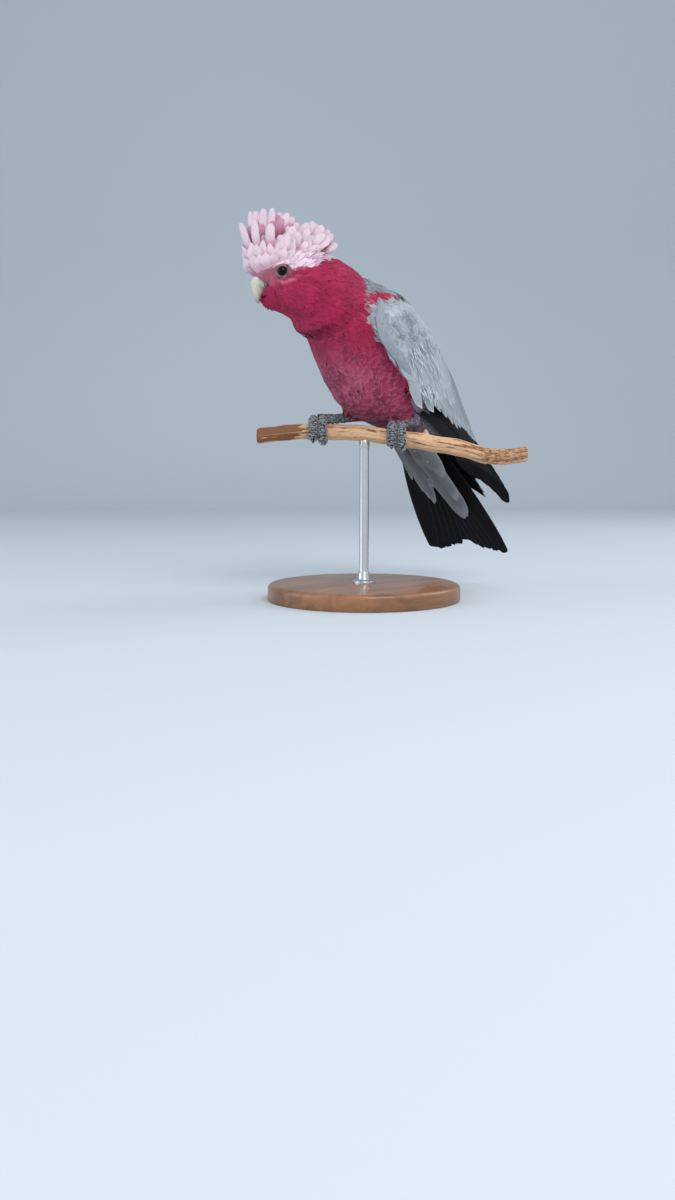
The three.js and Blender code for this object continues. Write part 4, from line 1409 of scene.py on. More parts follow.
def leads_wing(points):
    """Whether each place is at the folded wing's leading edge, where the long coverts lie bare."""
    spot = from_world(points)
    spot[:, 0] = np.abs(spot[:, 0])
    line = curve(COVER_LEAD, np.linspace(0, 1, 40))
    gap = np.linalg.norm(spot[:, None] - line[None], axis=-1)
    return (gap.min(axis=1) < 7.5) & (gap.argmin(axis=1) > 13)


def bare_places(points, region):
    """Whether each place grows no contour feathers: feet, undertail, eye rings, under the long coverts."""
    way = WING_LINE[-1] - WING_LINE[0]
    down_wing = (points - WING_LINE[0]) @ way / (way @ way)
    ringed = within(region, "head") & (eye_gap(points) < EYE_RING[0] - 0.4)
    covered = within(region, "wing") & ((down_wing > 0.84) | leads_wing(points))
    return within(region, "foot", "undertail") | ringed | covered


# Each piece of the coat: its region, slot and material, and the grid of its vanes.
COAT = {
    "coat_head": ("head", "rose_plumage", "soft_feathers", (4, 4)),
    "coat_neck": ("neck", "rose_plumage", "soft_feathers", (4, 4)),
    "coat_breast": ("trunk", "rose_plumage", "breast_feathers", (6, 5)),
    "coat_back": ("back", "grey_plumage", "contour_feathers", (6, 5)),
    "coat_thighs": ("thigh", "thigh_plumage", "contour_feathers", (6, 5)),
    "coat_wings": ("wing", "wing_plumage", "wing_feathers", (6, 5)),
}


# How many places on the skin are tried for a feather.
ROOTS_TRIED = 150000


def grow_coat(skin, fullness, dice):
    """Lays the contour feathers of the head, neck, body, thighs and lesser wing coverts."""
    points, region, places = skin.scatter(dice, ROOTS_TRIED)
    sizes = tract_sizes(points, region)
    chosen = np.flatnonzero(~bare_places(points, region))
    chosen = chosen[thin_out(points[chosen], sizes[chosen, 0], dice)]
    points, region, places, sizes = points[chosen], region[chosen], places[chosen], sizes[chosen, 1:]
    head = within(region, "head")
    flow = np.where(within(region, "wing")[:, None], along_line(points, WING_LINE, 24), lie_of(points))
    pale = cap_share(points) * within(region, "head", "neck")
    flow = unit(flow + pale[:, None] * (0.30 * HEAD_AXES[2]))
    tip_gap = eye_gap(points + flow * (sizes[:, :1] * MM))
    sizes[:, 0] *= np.where(head & (tip_gap < EYE_RING[0]), 0.55, 1)
    sizes[:, [2, 5]] *= fullness
    colours = plumage(points + flow * (sizes[:, :1] * 0.4 * MM), region)
    fringes = fringe_colours(points, region, colours)
    uneven = 0.06 * dice.normal(0, 1, (len(points), 1)) + 0.16 * patchy(points, 16)[:, None]
    colours = (colours * (1 + uneven)).clip(0, 1)
    for name, (part, slot, material, grid) in COAT.items():
        part = within(region, part)
        vanes = Vanes(skin, dice, *grid)
        vanes.lay(*(values[part] for values in (points, flow, sizes, colours, fringes, places)))
        vanes.pieces(name, slot, feathers(material))


# Roots and tips of the covert row that covers the wing's leading edge, as shares along and across it.
FORE_ROOTS = [(0.07, -0.46), (0.16, -0.76), (0.28, -0.86), (0.42, -0.82), (0.60, -0.76)]
FORE_TIPS = [(0.18, -0.70), (0.28, -0.85), (0.42, -0.87), (0.60, -0.82), (0.84, -0.88)]
PALE_EDGE = tint(196, 203, 210)
COVERT_SHAPE = {"uneven": 0.012, "ragged": 0.003, "tip": 0.4, "point": 0.02, "rise": 0.9, "root_dip": 2.0}
LOW_ROW = {"uneven": 0.002, "rise": 0.5, "point": 0.03, "ridge": 4.0}
LOBES = {"uneven": 0, "point": 0.012, "tip": 0.55}
FORE_ROW = {"stack": 0, "rise": 0.3}
# The rows of coverts and secondaries: their number, roots and tips, widths, height, tone, edge and shape.
COVERT_ROWS = [
    (12, ((0.56, -0.66), (0.62, 0.86)), ((0.905, -0.62), (0.99, 0.3), (0.99, 0.92)), (16, 14, 10), -1.5, 0.82,
     tint(172, 180, 188), LOW_ROW),
    (10, ((0.54, -0.72), (0.58, 0.88)), ((0.885, -0.72), (0.95, 0.86)), (14, 12.5), -1.2, 0.82,
     tint(172, 180, 188), LOW_ROW),
    (10, ((0.50, -0.76), (0.54, 0.90)), ((0.82, -0.80), (0.86, 0.88)), (13, 12), -0.9, 1, PALE_EDGE, {}),
    (12, ((0.42, -0.78), (0.46, 0.90)), ((0.73, -0.84), (0.76, 0.90)), (11, 10), -0.8, 1, PALE_EDGE, {}),
    (2, ((0.62, -0.76), (0.64, -0.56)), ((0.945, -1.06), (0.945, -0.76)), (10.5, 12.5), 0.6, 1, PALE_EDGE,
     LOBES),
    (22, FORE_ROOTS, FORE_TIPS, (6, 7.5, 9, 10), -0.7, 0.86, tint(150, 160, 170), FORE_ROW),
]
QUILL_SHAPE = {
    "uneven": 0, "ragged": 0.004, "tip": 0.14, "point": 0.045, "stack": 0.35, "rise": 0.4, "cup": 0.15,
    "tilt": 0.2, "base": 0.8, "sunk": 4.0, "twist": 3.5,
}
OUTER_TIPS = {"left": ((0.80, -1.30), (0.96, -0.65)), "right": ((0.86, -0.7), (0.96, -0.45))}


def lay_wings(skin, dice):
    """The long covert rows, secondaries and primaries of both wings."""
    quills = quill_material()
    for side in SIDES:
        cover = Sheet(COVER_LEAD, COVER_TRAIL, [6, 9.5, 11, 10, 7, 4], [3, 4.5, 5, 4.5, 3, 1.4], side)
        vanes = Vanes(skin, dice, 6, 12)
        for count, roots, tips, width, up, tone, edge, shape in COVERT_ROWS:
            dim = tone * (1 - 0.25 * smoothstep(0.55, 1, np.linspace(0, 1, count)))
            grey = np.outer(dim, swatch("wing"))
            fan(vanes, cover, count, roots, tips, width, up, grey, edge, **{**COVERT_SHAPE, **shape})
        coverts, soft = f"wing_coverts_{side}", feathers("wing_feathers")
        vanes.pieces(coverts, "wing_plumage", soft, f"wing_{side}_secondaries")
        lay_frays(cover, skin, side, dice)
        quill = Sheet(QUILL_LEAD, QUILL_TRAIL, [3, 3, 2.5, 2, 1, 0], [1.6, 1.5, 1.3, 1.1, 0.9, 0.6], side)
        vanes = Vanes(skin, dice, 4, 16)
        black, edge = np.array(swatch("flight")), tint(16, 17, 21)
        tips = (*OUTER_TIPS[side], (1.0, 0.0), (0.80, 0.55))
        fan(vanes, quill, 9, ((0.02, -0.9), (0.02, 0.9)), tips, (11, 11, 13), -0.6, black, edge, **QUILL_SHAPE)
        tips = ((0.985, 0.3), (0.62, 0.7))
        fan(vanes, quill, 6, ((0.05, -0.7), (0.05, 0.85)), tips, (10, 13), 0.2, black, edge, **QUILL_SHAPE)
        vanes.pieces(f"primaries_{side}", "tail_quills", quills, f"wing_{side}_primaries")


# Patches of loose barbs: their number, middle and spread over the wing, turn, lengths and whiteness.
FRAYS = (
    (44, (0.55, -0.36), (0.12, 0.34), 18, (8, 13), 0.87), (50, (0.79, -0.60), (0.05, 0.24), 34, (7, 12), 0.97),
)
WING_LENGTH = 150


def lay_frays(sheet, skin, side, dice):
    """Loose pale barbs that stray over the coverts, most of them in a patch near their front lobes."""
    vanes = Vanes(skin, dice, 2, 8)
    down = vanes.along
    for count, middle, spread, turn, length, white in FRAYS:
        along, across = (middle + dice.uniform(-1, 1, (count, 2)) * spread).T[..., None]
        lean = np.radians(dice.normal(-6, turn, count))[:, None]
        reach = dice.uniform(*length, count)[:, None] / WING_LENGTH
        bend = dice.normal(0, 0.05, count)[:, None]
        half = sheet.half(along)
        out = along + reach * np.cos(lean) * down
        over = across + (reach * WING_LENGTH / half) * (np.sin(lean) * down + bend * down**2)
        over = over + vanes.across * 0.45 / half * np.sqrt(np.clip(1 - (2 * down - 1) ** 4, 0.02, 1))
        place, normal = sheet.at(out, over, 0.35 + 0.5 * down + dice.normal(0, 0.12, (count, 1)))
        pale = np.array(tint(214, 222, 230)) * white * vanes.luck(count, 0.06)
        vanes.add(place, normal, 0.3, pale, pale, skin.place_of(place[:, len(down) // 2]))
    vanes.pieces(f"wing_frays_{side}", "wing_plumage", feathers("wing_feathers"))


def lay_flanks(skin, dice, count=44):
    """Soft rounded feathers that hang from under the wings, beside the vent."""
    vanes = Vanes(skin, dice, 6, 8)
    for sign in (1, -1):
        mirror = [sign, 1, 1]
        low, out = np.sort(dice.random(count))[::-1], dice.random(count)
        root = np.stack([21 + 5 * out, 32 + 22 * low, 25 - 9 * low], axis=-1)
        tip = np.stack([19 + 5 * out, 45 + 28 * low, 10 - 12 * low], axis=-1) + dice.normal(0, 0.5, (count, 3))
        line = blend(root[:, None], tip[:, None], vanes.along[None, :, None])
        line[..., 0] += 2.2 * np.sin(math.pi * vanes.along)
        up = unit(np.stack([1 + 0 * low, -0.35 + 0.3 * low, 0.1 - 0.5 * low], axis=-1))
        side = unit(np.cross(up, tip - root))
        tone = (0.5 + 0.5 * dice.random(count)) * blend(1, 0.85, low)
        colours = mixed(tint(104, 98, 108), tint(134, 134, 142), tone)
        vanes.lay_on_lines(
            world(line * mirror), side * mirror, up * mirror, world(root * mirror), 5.0, colours,
            colours * 1.2, tip=0.5, camber=0.3, thick=0.35, ragged=0.12, point=1.4,
        )
    vanes.pieces("coat_flanks", "thigh_plumage", feathers("contour_feathers"))


# --- The tail's feathers ---


def lay_tail(skin, dice):
    """The fan of tail feathers, and the long soft coverts above and below it."""
    vanes = Vanes(skin, dice, 6, 16)
    along, rows = vanes.along, []
    for place in np.linspace(-1, 1, 12):
        turn, edge = place * TAIL_SPREAD, abs(place)
        length = TAIL_LENGTH - 14 * (1 - edge) ** 1.5 + dice.normal(0, 0.8)
        out = 14 + (length - 14) * along
        lift = 6 - 1.5 * edge - 2.5 * along + (1 - along) * place * 2 + 1.65 * (1 - edge)
        beside = place * 12 + out * math.sin(turn)
        rows.append((out * math.cos(turn), beside, lift, 0.06 * np.sign(place), turn, 10.2))
    black = np.array(swatch("flight")) * vanes.luck(len(rows), 0.08)
    shape = {"base": 0.62, "tip": 0.55, "camber": 0.03, "thick": 0.6, "ragged": 0.7, "point": 2.5}
    lay_on_tail(vanes, rows, 1, black, tint(48, 44, 48), **shape)
    vanes.pieces("tail_feathers", "tail_quills", quill_material(), "tail")
    soft = {"tip": 0.45, "point": 2.0}

    vanes = Vanes(skin, dice, 6, 12)
    along, rows, tones, last = vanes.along, [], [], 12
    for sign, left, length, wide in ((1, 17, 97, 8.6), (-1, 8, 80, 7.4)):
        for layer in range(last + 1):
            share = layer / last
            drift = dice.uniform(-1, 1) * 9 * (1 - share) + (dice.uniform(-1, 1) * 4 if layer < last else 0)
            out = blend(-14 + 30 * share, length * (0.42 + 0.58 * share), along)
            beside = sign * (left + 1) * blend(0.55, 1, along) + drift * blend(0.7, 1.0, along)
            depth = blend(-14 + 2 * share, -2.2 - 5.5 * (1 - share), along)
            half = wide + dice.normal(0, 0.4) if layer > 9 else wide - 1
            rows.append((out, beside, depth, 0.5 * drift / 9 + 0.15 * sign, 0, half))
            tones.append(1 + 0.08 * dice.normal())
    grey = np.outer(tones, VENT_GREY)
    lay_on_tail(vanes, rows, -1, grey, tint(150, 153, 160), camber=0.35, ragged=0.5, **soft)
    vanes.pieces("undertail_feathers", "grey_plumage", feathers("contour_feathers"))

    vanes = Vanes(skin, dice, 6, 10)
    along, rows = vanes.along, []
    for layer in range(16):
        share = layer / 15
        beside = 13 * math.sin(layer * 2.4) * blend(1, 0.75, share)
        out = blend(-26 + 26 * share, 14 + 46 * share, along)
        lift = blend(24 - 13 * share, 9.5 - share, along)
        rows.append((out, beside * blend(0.9, 1.05, along), lift, 0.03 * beside, 0, 7.5))
    grey = np.array(RUMP) * vanes.luck(len(rows), 0.05)
    lay_on_tail(vanes, rows, 1, grey, tint(206, 210, 216), camber=0.25, ragged=0.4, **soft)
    vanes.pieces("uppertail_feathers", "grey_plumage", feathers("contour_feathers"))


# --- Materials ---


def feather_material(name, barb, fringe_from, shade, roughness):
    """Vanes: painted shade towards the root, under the feathers that overlap it, an edge of the fringe colour,
    and barbs slanting from the quill.
    """
    shader = Shader(name)
    along, reach = shader.attribute("along"), shader.attribute("across").absolute()
    rim = (along.between(fringe_from, 1.0) + reach * reach * reach.between(0.7, 1.0)) * along.between(0.3, 0.7)
    colour = shader.mix(rim * 0.8, shader.colour("plumage"), shader.colour("fringe"))
    # Painted shade towards the root, where the feathers above overlap it.
    root = 1 - along.between(0.05, 0.6)
    colour = shader.mix(root * shade, colour, (0.3, 0.22, 0.26), "MULTIPLY")
    fibres = ((along * 1.6 - reach) * barb + shader.attribute("luck") * 40).wave()
    colour = shader.mix(fibres * 0.06 + 0.06, colour, (0.5, 0.45, 0.48), "MULTIPLY")
    quill = 1 - reach.between(0.0, 0.12)
    grain = shader.grain(900)
    colour = shader.mix((grain - 0.5).absolute() * 0.5, colour, shader.colour("fringe"))
    height = fibres * 0.25 + quill * 0.5 + grain * 0.6
    return shader.finish(colour, roughness, height, 0.0004, 0.5, Specular_IOR_Level=0.2, Sheen_Weight=0.06)


def darker(colour, share):
    """A colour with only a share of its light."""
    return tuple(share * value for value in colour)


def skin_material():
    shader = Shader("plumage_skin")
    return shader.finish(shader.colour("plumage"), 0.85, shader.grain(700, 4.0), 0.0008, 0.6)


def crest_material(name, pale_from):
    """Crest feathers: deep at the root, pale from a share of their length on, and with painted shade along
    their edges.
    """
    shader = Shader(name)
    along, reach = shader.attribute("along"), shader.attribute("across").absolute()
    # The deep colour also comes in at the edges, as painted shade.
    deep = (1 - along.between(pale_from, pale_from + 0.57)) * 0.9 + reach.between(0.6, 1.0) * 0.18
    colour = shader.mix(deep, shader.colour("plumage"), shader.colour("fringe"))
    grain = shader.grain(800)
    fibres = ((along * 1.4 - reach) * 90 + shader.attribute("luck") * 40).wave()
    return shader.finish(colour, 0.75, grain * 0.7 + fibres * 0.2, 0.0004, 0.5, Specular_IOR_Level=0.25,
                         Sheen_Weight=0.15)


def quill_material():
    made = bpy.data.materials.get("flight_quills")
    if made:
        return made
    shader = Shader("flight_quills")
    along, reach = shader.attribute("along"), shader.attribute("across").absolute()
    quill = 1 - reach.between(0.0, 0.07)
    colour = shader.mix(reach.between(0.75, 1.0) * 0.6, shader.colour("plumage"), shader.colour("fringe"))
    colour = shader.mix(quill * 0.5, colour, (0.003, 0.003, 0.004))
    fibres = ((along * 2.2 - reach) * 130).wave()
    height = fibres * 0.3 + quill * 0.8
    return shader.finish(colour, 0.62, height, 0.0003, 0.5, Specular_IOR_Level=0.1)


def bill_material(horn):
    shader = Shader("bill_horn")
    reach = shader.attribute("reach")
    streak = shader.grain(420, 4.0, (1, 1, 0.35), distortion=0.3)
    blotch = shader.grain(160, 2.0, roughness=0.5)
    colour = shader.mix(streak.between(0.35, 0.7), darker(horn, 0.8), tuple(horn))
    stain = blotch.between(0.45, 0.7) * reach.between(0.45, 0.75)
    colour = shader.mix(stain * 0.6, colour, tint(150, 136, 102))
    # Painted shade: the bill darkens towards its tip.
    colour = shader.mix(reach.between(0.8, 1.0) * 0.6, colour, tint(104, 104, 98))
    return shader.finish(colour, 0.42, streak + blotch * 0.6, 0.0005, 0.35, Coat_Weight=0.1)


def eye_material(iris):
    shader = Shader("eye")
    gaze = shader.attribute("gaze")
    flecks = shader.grain(1400)
    iris = shader.mix(flecks, darker(iris, 0.4), tuple(iris))
    colour = shader.mix(gaze.between(21, 24), (0.002, 0.002, 0.002), iris)
    colour = shader.mix(gaze.between(50, 58), colour, tint(18, 12, 12))
    return shader.finish(colour, 0.05, None, Specular_IOR_Level=0.14)


def eye_ring_material(ring):
    shader = Shader("eye_ring")
    crease = shader.attribute("crease")
    grain = shader.grain(900)
    colour = shader.mix(grain, darker(ring, 0.58), tuple(ring))
    colour = shader.mix(crease.between(0.5, 1.1) * 0.8, colour, tint(186, 160, 166))
    # Painted shade in the hollows of the wrinkles.
    colour = shader.mix(crease.between(-0.25, 0.0) * -1 + 1, colour, tint(92, 44, 60))
    return shader.finish(colour, 0.6, grain, 0.0004, 0.6)


def foot_material(scale):
    shader = Shader("foot_scales")
    height, luck = shader.attribute("height"), shader.attribute("luck")
    grain = shader.grain(800)
    colour = shader.mix(luck, tuple(scale), tuple(blend(scale, 1, 0.12)))
    # Pale flecks on the scales' raised tops: partly real flecks, partly a painted highlight.
    colour = shader.mix(height.between(0.2, 0.95) * grain.between(0.3, 0.7) * 0.5, colour, tint(160, 160, 154))
    # Painted shade low on each scale, where it meets its neighbours.
    colour = shader.mix((1 - height.between(-0.3, 0.3)) * 0.4, colour, tint(72, 75, 84))
    return shader.finish(colour, 0.7, grain, 0.0004, 0.6)


def claw_material():
    shader = Shader("claw_horn")
    streak = shader.grain(600)
    return shader.finish(shader.mix(streak, tint(20, 20, 23), tint(44, 44, 48)), 0.3, streak, 0.0002, 0.3)


def branch_material(wood, bark):
    wood, bark = tuple(wood), tuple(bark)
    shader = Shader("peeled_branch")
    along, around = shader.attribute("along"), shader.attribute("around")
    streak = shader.noise(shader.joined(along * 0.05, around * 1.2), 5.0, 4.0, distortion=0.2)
    fine = shader.noise(shader.joined(along * 0.12, around * 5.0), 6.0)
    patch = shader.noise(shader.joined(along * 0.022, around * 1.1, 2.0), 2.4)
    under = (around - 1.9).wave() * -0.5 + 0.5
    ends = along.between(78, 108) * 0.6 + (1 - along.between(-66, -40)) * 0.9
    cover = (patch + under * 0.36 + ends * 0.34 + fine * 0.08).between(0.92, 1.04)
    tan = shader.mix(streak.between(0.3, 0.7), wood, tint(205, 160, 120))
    tan = shader.mix(fine.between(0.55, 0.75) * 0.5, tan, tint(168, 118, 82))
    brown = shader.mix(fine.between(0.35, 0.65), bark, tint(98, 66, 44))
    brown = shader.mix(along.between(84, 100) * streak.between(0.45, 0.6), brown, tint(208, 160, 122))
    colour = shader.mix(cover, tan, brown)
    height = streak * 0.7 + fine * 0.5 + cover * 0.6
    return shader.finish(colour, 0.72, height, 0.0008, 0.7, Specular_IOR_Level=0.3)


def wood_material(wood):
    shader = Shader("stand_wood")
    rings = shader.grain(60, 4.0, (1, 0.12, 1), roughness=0.55, distortion=0.6)
    pores = shader.grain(420, 3.0, (1, 0.05, 1))
    colour = shader.mix(rings.between(0.35, 0.65), darker(wood, 0.6), tuple(wood))
    colour = shader.mix(pores.between(0.55, 0.75) * 0.4, colour, tint(84, 52, 34))
    return shader.finish(colour, 0.4, pores, 0.0002, 0.3, Coat_Weight=0.2)


def steel_material(steel):
    shader = Shader("stand_steel")
    brush = shader.grain(160, 2.0, (1, 1, 12), roughness=0.5)
    return shader.finish(tuple(steel), brush * 0.12 + 0.26, brush, 0.0001, 0.15, Metallic=1.0)


# --- Stand and stage ---


def polyline(form, places):
    """Adds a line of edges through the places to a bmesh."""
    verts = [form.verts.new(place) for place in places]
    return verts, [form.edges.new(pair) for pair in zip(verts, verts[1:])]


def turned(name, profile, segments=96):
    """A solid of revolution about the upright axis, from its profile as (radius, height) in metres."""
    form = bmesh.new()
    verts, edges = polyline(form, [(radius, 0, height) for radius, height in profile])
    bmesh.ops.spin(
        form, geom=verts + edges, cent=(0, 0, 0), axis=(0, 0, 1), angle=2 * math.pi, steps=segments,
        use_merge=True,
    )
    bmesh.ops.remove_doubles(form, verts=form.verts, dist=1e-6)
    bmesh.ops.recalc_face_normals(form, faces=form.faces)
    return shaped(name, form)


def soften(obj, width, segments=3):
    """Rounds an object's sharp edges with a bevel."""
    form = bmesh.new()
    form.from_mesh(obj.data)
    sharp = [edge for edge in form.edges if edge.calc_face_angle(0) > math.radians(35)]
    bmesh.ops.bevel(
        form, geom=sharp, offset=width, offset_type="OFFSET", segments=segments, profile=0.5, affect="EDGES",
        clamp_overlap=True, material=-1,
    )
    form.to_mesh(obj.data)
    form.free()
    obj.data.polygons.foreach_set("use_smooth", np.ones(len(obj.data.polygons), bool))
    return obj


def make_stand(edge, wood, steel):
    """The round base with its eased edge, and the rod with a flange at its foot."""
    low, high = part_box("stand_base")
    radius, thick = (high.x - low.x) / 2, high.z - low.z
    profile = [(0, 0), (radius - 0.001, 0), (radius, 0.001), (radius, thick - edge)]
    for step in range(1, 7):
        turn = step / 6 * math.pi / 2
        profile.append((radius - edge + edge * math.cos(turn), thick - edge + edge * math.sin(turn)))
    profile.append((0, thick))
    base = turned("stand_foot", profile)
    settle(base, "stand_wood", wood, "stand_base")
    low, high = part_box("stand_rod")
    rod = (high.x - low.x) / 2
    top = high.z
    profile = [
        (0, thick - 0.002), (rod * 2.4, thick - 0.002), (rod * 2.4, thick + 0.002),
        (rod * 2.1, thick + 0.0028), (rod * 1.35, thick + 0.0034), (rod * 1.2, thick + 0.009),
        (rod, thick + 0.0096), (rod, top - 0.006),
        (rod * 1.12, top - 0.0055), (rod * 1.12, top), (0, top),
    ]
    post = soften(turned("stand_post", profile, 48), 0.0003, 2)
    settle(post, "stand_steel", steel, "stand_rod")


CAMERA_YAW = math.radians(44 + 1.55)
CAMERA_PITCH = math.radians(7.58)
CAMERA_PLACE = [576.57, -597.05, -30.31]
LENS, SENSOR = 29.31, 36
# Each lamp's place, power, size and colour.
LIGHTS = {
    "key": ((1.15, -0.55, 1.25), 17, 0.9, (1.0, 0.97, 0.94)),
    "fill": ((-0.9, -1.3, 0.7), 9, 1.4, (0.9, 0.95, 1.0)),
    "rim": ((0.5, 1.3, 1.1), 9, 0.9, (0.95, 0.98, 1.0)),
}
LIT_PLACE = Vector((0, 0, 0.18))
# The floor, in metres: its front edge, where it begins to curve up, the bend, its top and its breadth.
FLOOR_FRONT, FLOOR_END, FLOOR_BEND, WALL_TOP, FLOOR_BREADTH = -2.2, 1.9, 0.9, 8.0, 28


def placed(name, data, place, way):
    """A lamp or camera in the scene, looking one way."""
    obj = bpy.data.objects.new(name, data)
    obj.location = place
    obj.rotation_euler = way.to_track_quat("-Z", "Y").to_euler()
    bpy.context.scene.collection.objects.link(obj)
    return obj


def lay_floor(tone):
    """A pale floor that curves up behind."""
    form = bmesh.new()
    profile = [(FLOOR_FRONT, 0.0), (FLOOR_END, 0.0)]
    for turn in np.linspace(0.1, math.pi / 2, 14):
        profile.append((FLOOR_END + FLOOR_BEND * math.sin(turn), FLOOR_BEND - FLOOR_BEND * math.cos(turn)))
    profile.append((FLOOR_END + FLOOR_BEND, WALL_TOP))
    _, edges = polyline(form, [(-FLOOR_BREADTH / 2, y, z) for y, z in profile])
    made = bmesh.ops.extrude_edge_only(form, edges=edges)["geom"]
    moved = [item for item in made if isinstance(item, bmesh.types.BMVert)]
    bmesh.ops.translate(form, verts=moved, vec=(FLOOR_BREADTH, 0, 0))
    bmesh.ops.recalc_face_normals(form, faces=form.faces)
    bmesh.ops.rotate(form, verts=form.verts, matrix=Matrix.Rotation(CAMERA_YAW, 3, "Z"))
    floor = shaped("floor", form)
    floor.data.materials.append(Shader("floor").finish(tuple(tone), 0.8))


def set_stage(light_level, tone):
    """The floor, soft lights and the camera."""
    lay_floor(tone)
    scene = bpy.context.scene
    for name, (place, power, size, colour) in LIGHTS.items():
        lamp = bpy.data.lights.new(name, "AREA")
        lamp.energy, lamp.size, lamp.color = power * light_level, size, colour
        placed(name, lamp, place, LIT_PLACE - Vector(place))
    scene.world = bpy.data.worlds.new("soft_room")
    scene.world.use_nodes = True
    background = scene.world.node_tree.nodes["Background"].inputs
    background["Color"].default_value = (0.80, 0.87, 0.95, 1)
    background["Strength"].default_value = 0.75 * light_level
    scene.view_settings.view_transform = "Standard"
    lens = bpy.data.cameras.new("camera")
    lens.lens, lens.sensor_width = LENS, SENSOR
    level = Vector((-math.sin(CAMERA_YAW), math.cos(CAMERA_YAW), 0))
    aim = level * math.cos(CAMERA_PITCH) - Vector((0, 0, math.sin(CAMERA_PITCH)))
    scene.camera = placed("camera", lens, world(CAMERA_PLACE), aim)


# --- Settings ---


def colour_setting(label, about, default):
    return FloatVectorProperty(
        name=label, description=about, default=default, size=3, min=0, max=1, subtype="COLOR",
    )


class PlumageSettings(bpy.types.PropertyGroup):
    """The coat: how deep and fine it is, and its colours."""

    fullness: FloatProperty(
        name="Fullness", description="How far the coat stands out from the skin", default=1.0, min=0.7,
        max=1.2, subtype="FACTOR",
    )
    voxel: FloatProperty(
        name="Skin Detail", description="Size of the grid on which the flesh is joined in one skin",
        default=0.0014, min=0.001, max=0.004, precision=4, subtype="DISTANCE", unit="LENGTH",
    )
    seed: IntProperty(name="Seed", description="Changes how the feathers happen to lie", default=20, min=0)
    hood: colour_setting("Hood", "Cheeks, throat and nape", CRIMSON)
    breast: colour_setting("Breast", "Breast and sides", ROSE)
    crest: colour_setting("Crest", "Crest and cap", PALE)
    mantle: colour_setting("Mantle", "The grey of the back", MANTLE)
    wing: colour_setting("Wing", "The grey of the wing coverts", WING)
    flight: colour_setting("Quills", "Flight and tail feathers", FLIGHT)


class HeadSettings(bpy.types.PropertyGroup):
    """The bare parts of the head."""

    horn: colour_setting("Bill", "Bone colour of the bill", tint(206, 204, 190))
    iris: colour_setting("Iris", "Dark brown of the eye", tint(26, 16, 13))
    ring: colour_setting("Eye Ring", "Bare skin round the eye", tint(154, 100, 112))


class FootSettings(bpy.types.PropertyGroup):
    """The scales of the feet."""

    rows: IntProperty(name="Scale Rows", description="Rows of scales along a toe", default=14, min=6, max=20)
    scale: colour_setting("Scales", "Grey of the toes and shanks", FOOT_SKIN)


class PerchSettings(bpy.types.PropertyGroup):
    """The cut length of branch."""

    wood: colour_setting("Wood", "Peeled wood", tint(226, 188, 152))
    bark: colour_setting("Bark", "What is left of the bark", tint(150, 100, 66))


class StandSettings(bpy.types.PropertyGroup):
    """The display stand."""

    edge: FloatProperty(
        name="Edge Radius", description="Rounding of the base's upper edge", default=0.004, min=0.0, max=0.006,
        precision=4, subtype="DISTANCE", unit="LENGTH",
    )
    wood: colour_setting("Base", "Wood of the base", tint(152, 104, 70))
    steel: colour_setting("Rod", "Metal of the rod", (0.62, 0.62, 0.63))


class StageSettings(bpy.types.PropertyGroup):
    """The floor and lights."""

    light: FloatProperty(name="Light", description="Strength of all lights", default=1.0, min=0.2, max=3.0)
    floor: colour_setting("Floor", "The floor and backdrop", tint(198, 206, 212))


def swatch(name):
    """One of the plumage's colours, as it is set."""
    return tuple(getattr(bpy.context.scene.galah_plumage, name))


# --- Operators ---


def the_skin():
    """The skin, which has to be made before what grows on it."""
    obj = bpy.data.objects.get("galah_skin")
    if obj is None:
        raise RuntimeError("There is no skin yet: Make Skin comes first")
    return Skin(obj)


def fresh_dice(step):
    """The random numbers of one step."""
    return np.random.default_rng([bpy.context.scene.galah_plumage.seed, step])


# Each kind of feather: how fine its barbs are, where its fringe begins, how much painted shade darkens its
# root, and its roughness.
FEATHERS = {
    "contour_feathers": (60, 0.8, 0.3, 0.75),
    "soft_feathers": (40, 0.8, 0.12, 0.8),
    "breast_feathers": (60, 0.78, 0.2, 0.8),
    "wing_feathers": (90, 0.86, 0.25, 0.6),
}


def feathers(name):
    """The material of a kind of feather, made when it is first wanted."""
    return bpy.data.materials.get(name) or feather_material(name, *FEATHERS[name])


class GALAH_OT_make_skin(bpy.types.Operator):
    """Join the flesh in one skin, drawn in by the depth of the coat"""

    bl_idname = "galah.make_skin"
    bl_label = "Make Skin"

    def execute(self, context):
        settings = context.scene.galah_plumage
        skin = make_skin(settings.voxel, settings.fullness)
        nodes = [node for names in FLESH.values() for node in names]
        settle(skin.object, "rose_plumage", skin_material(), *nodes)
        return {"FINISHED"}


class GALAH_OT_grow_coat(bpy.types.Operator):
    """Lay the contour feathers of the head, body and wings, and the soft ones of the flanks"""

    bl_idname = "galah.grow_coat"
    bl_label = "Grow Coat"

    def execute(self, context):
        skin, dice = the_skin(), fresh_dice(1)
        grow_coat(skin, context.scene.galah_plumage.fullness, dice)
        lay_flanks(skin, dice)
        return {"FINISHED"}


class GALAH_OT_lay_wings(bpy.types.Operator):
    """Lay the long coverts, secondaries and primaries of both wings"""

    bl_idname = "galah.lay_wings"
    bl_label = "Lay Wings"

    def execute(self, context):
        lay_wings(the_skin(), fresh_dice(2))
        return {"FINISHED"}


class GALAH_OT_lay_tail(bpy.types.Operator):
    """Lay the tail feathers and the coverts above and below them"""

    bl_idname = "galah.lay_tail"
    bl_label = "Lay Tail"

    def execute(self, context):
        lay_tail(the_skin(), fresh_dice(3))
        return {"FINISHED"}


class GALAH_OT_raise_crest(bpy.types.Operator):
    """Raise the crest from the brow and crown"""

    bl_idname = "galah.raise_crest"
    bl_label = "Raise Crest"

    def execute(self, context):
        raise_crest(the_skin(), fresh_dice(4))
        return {"FINISHED"}


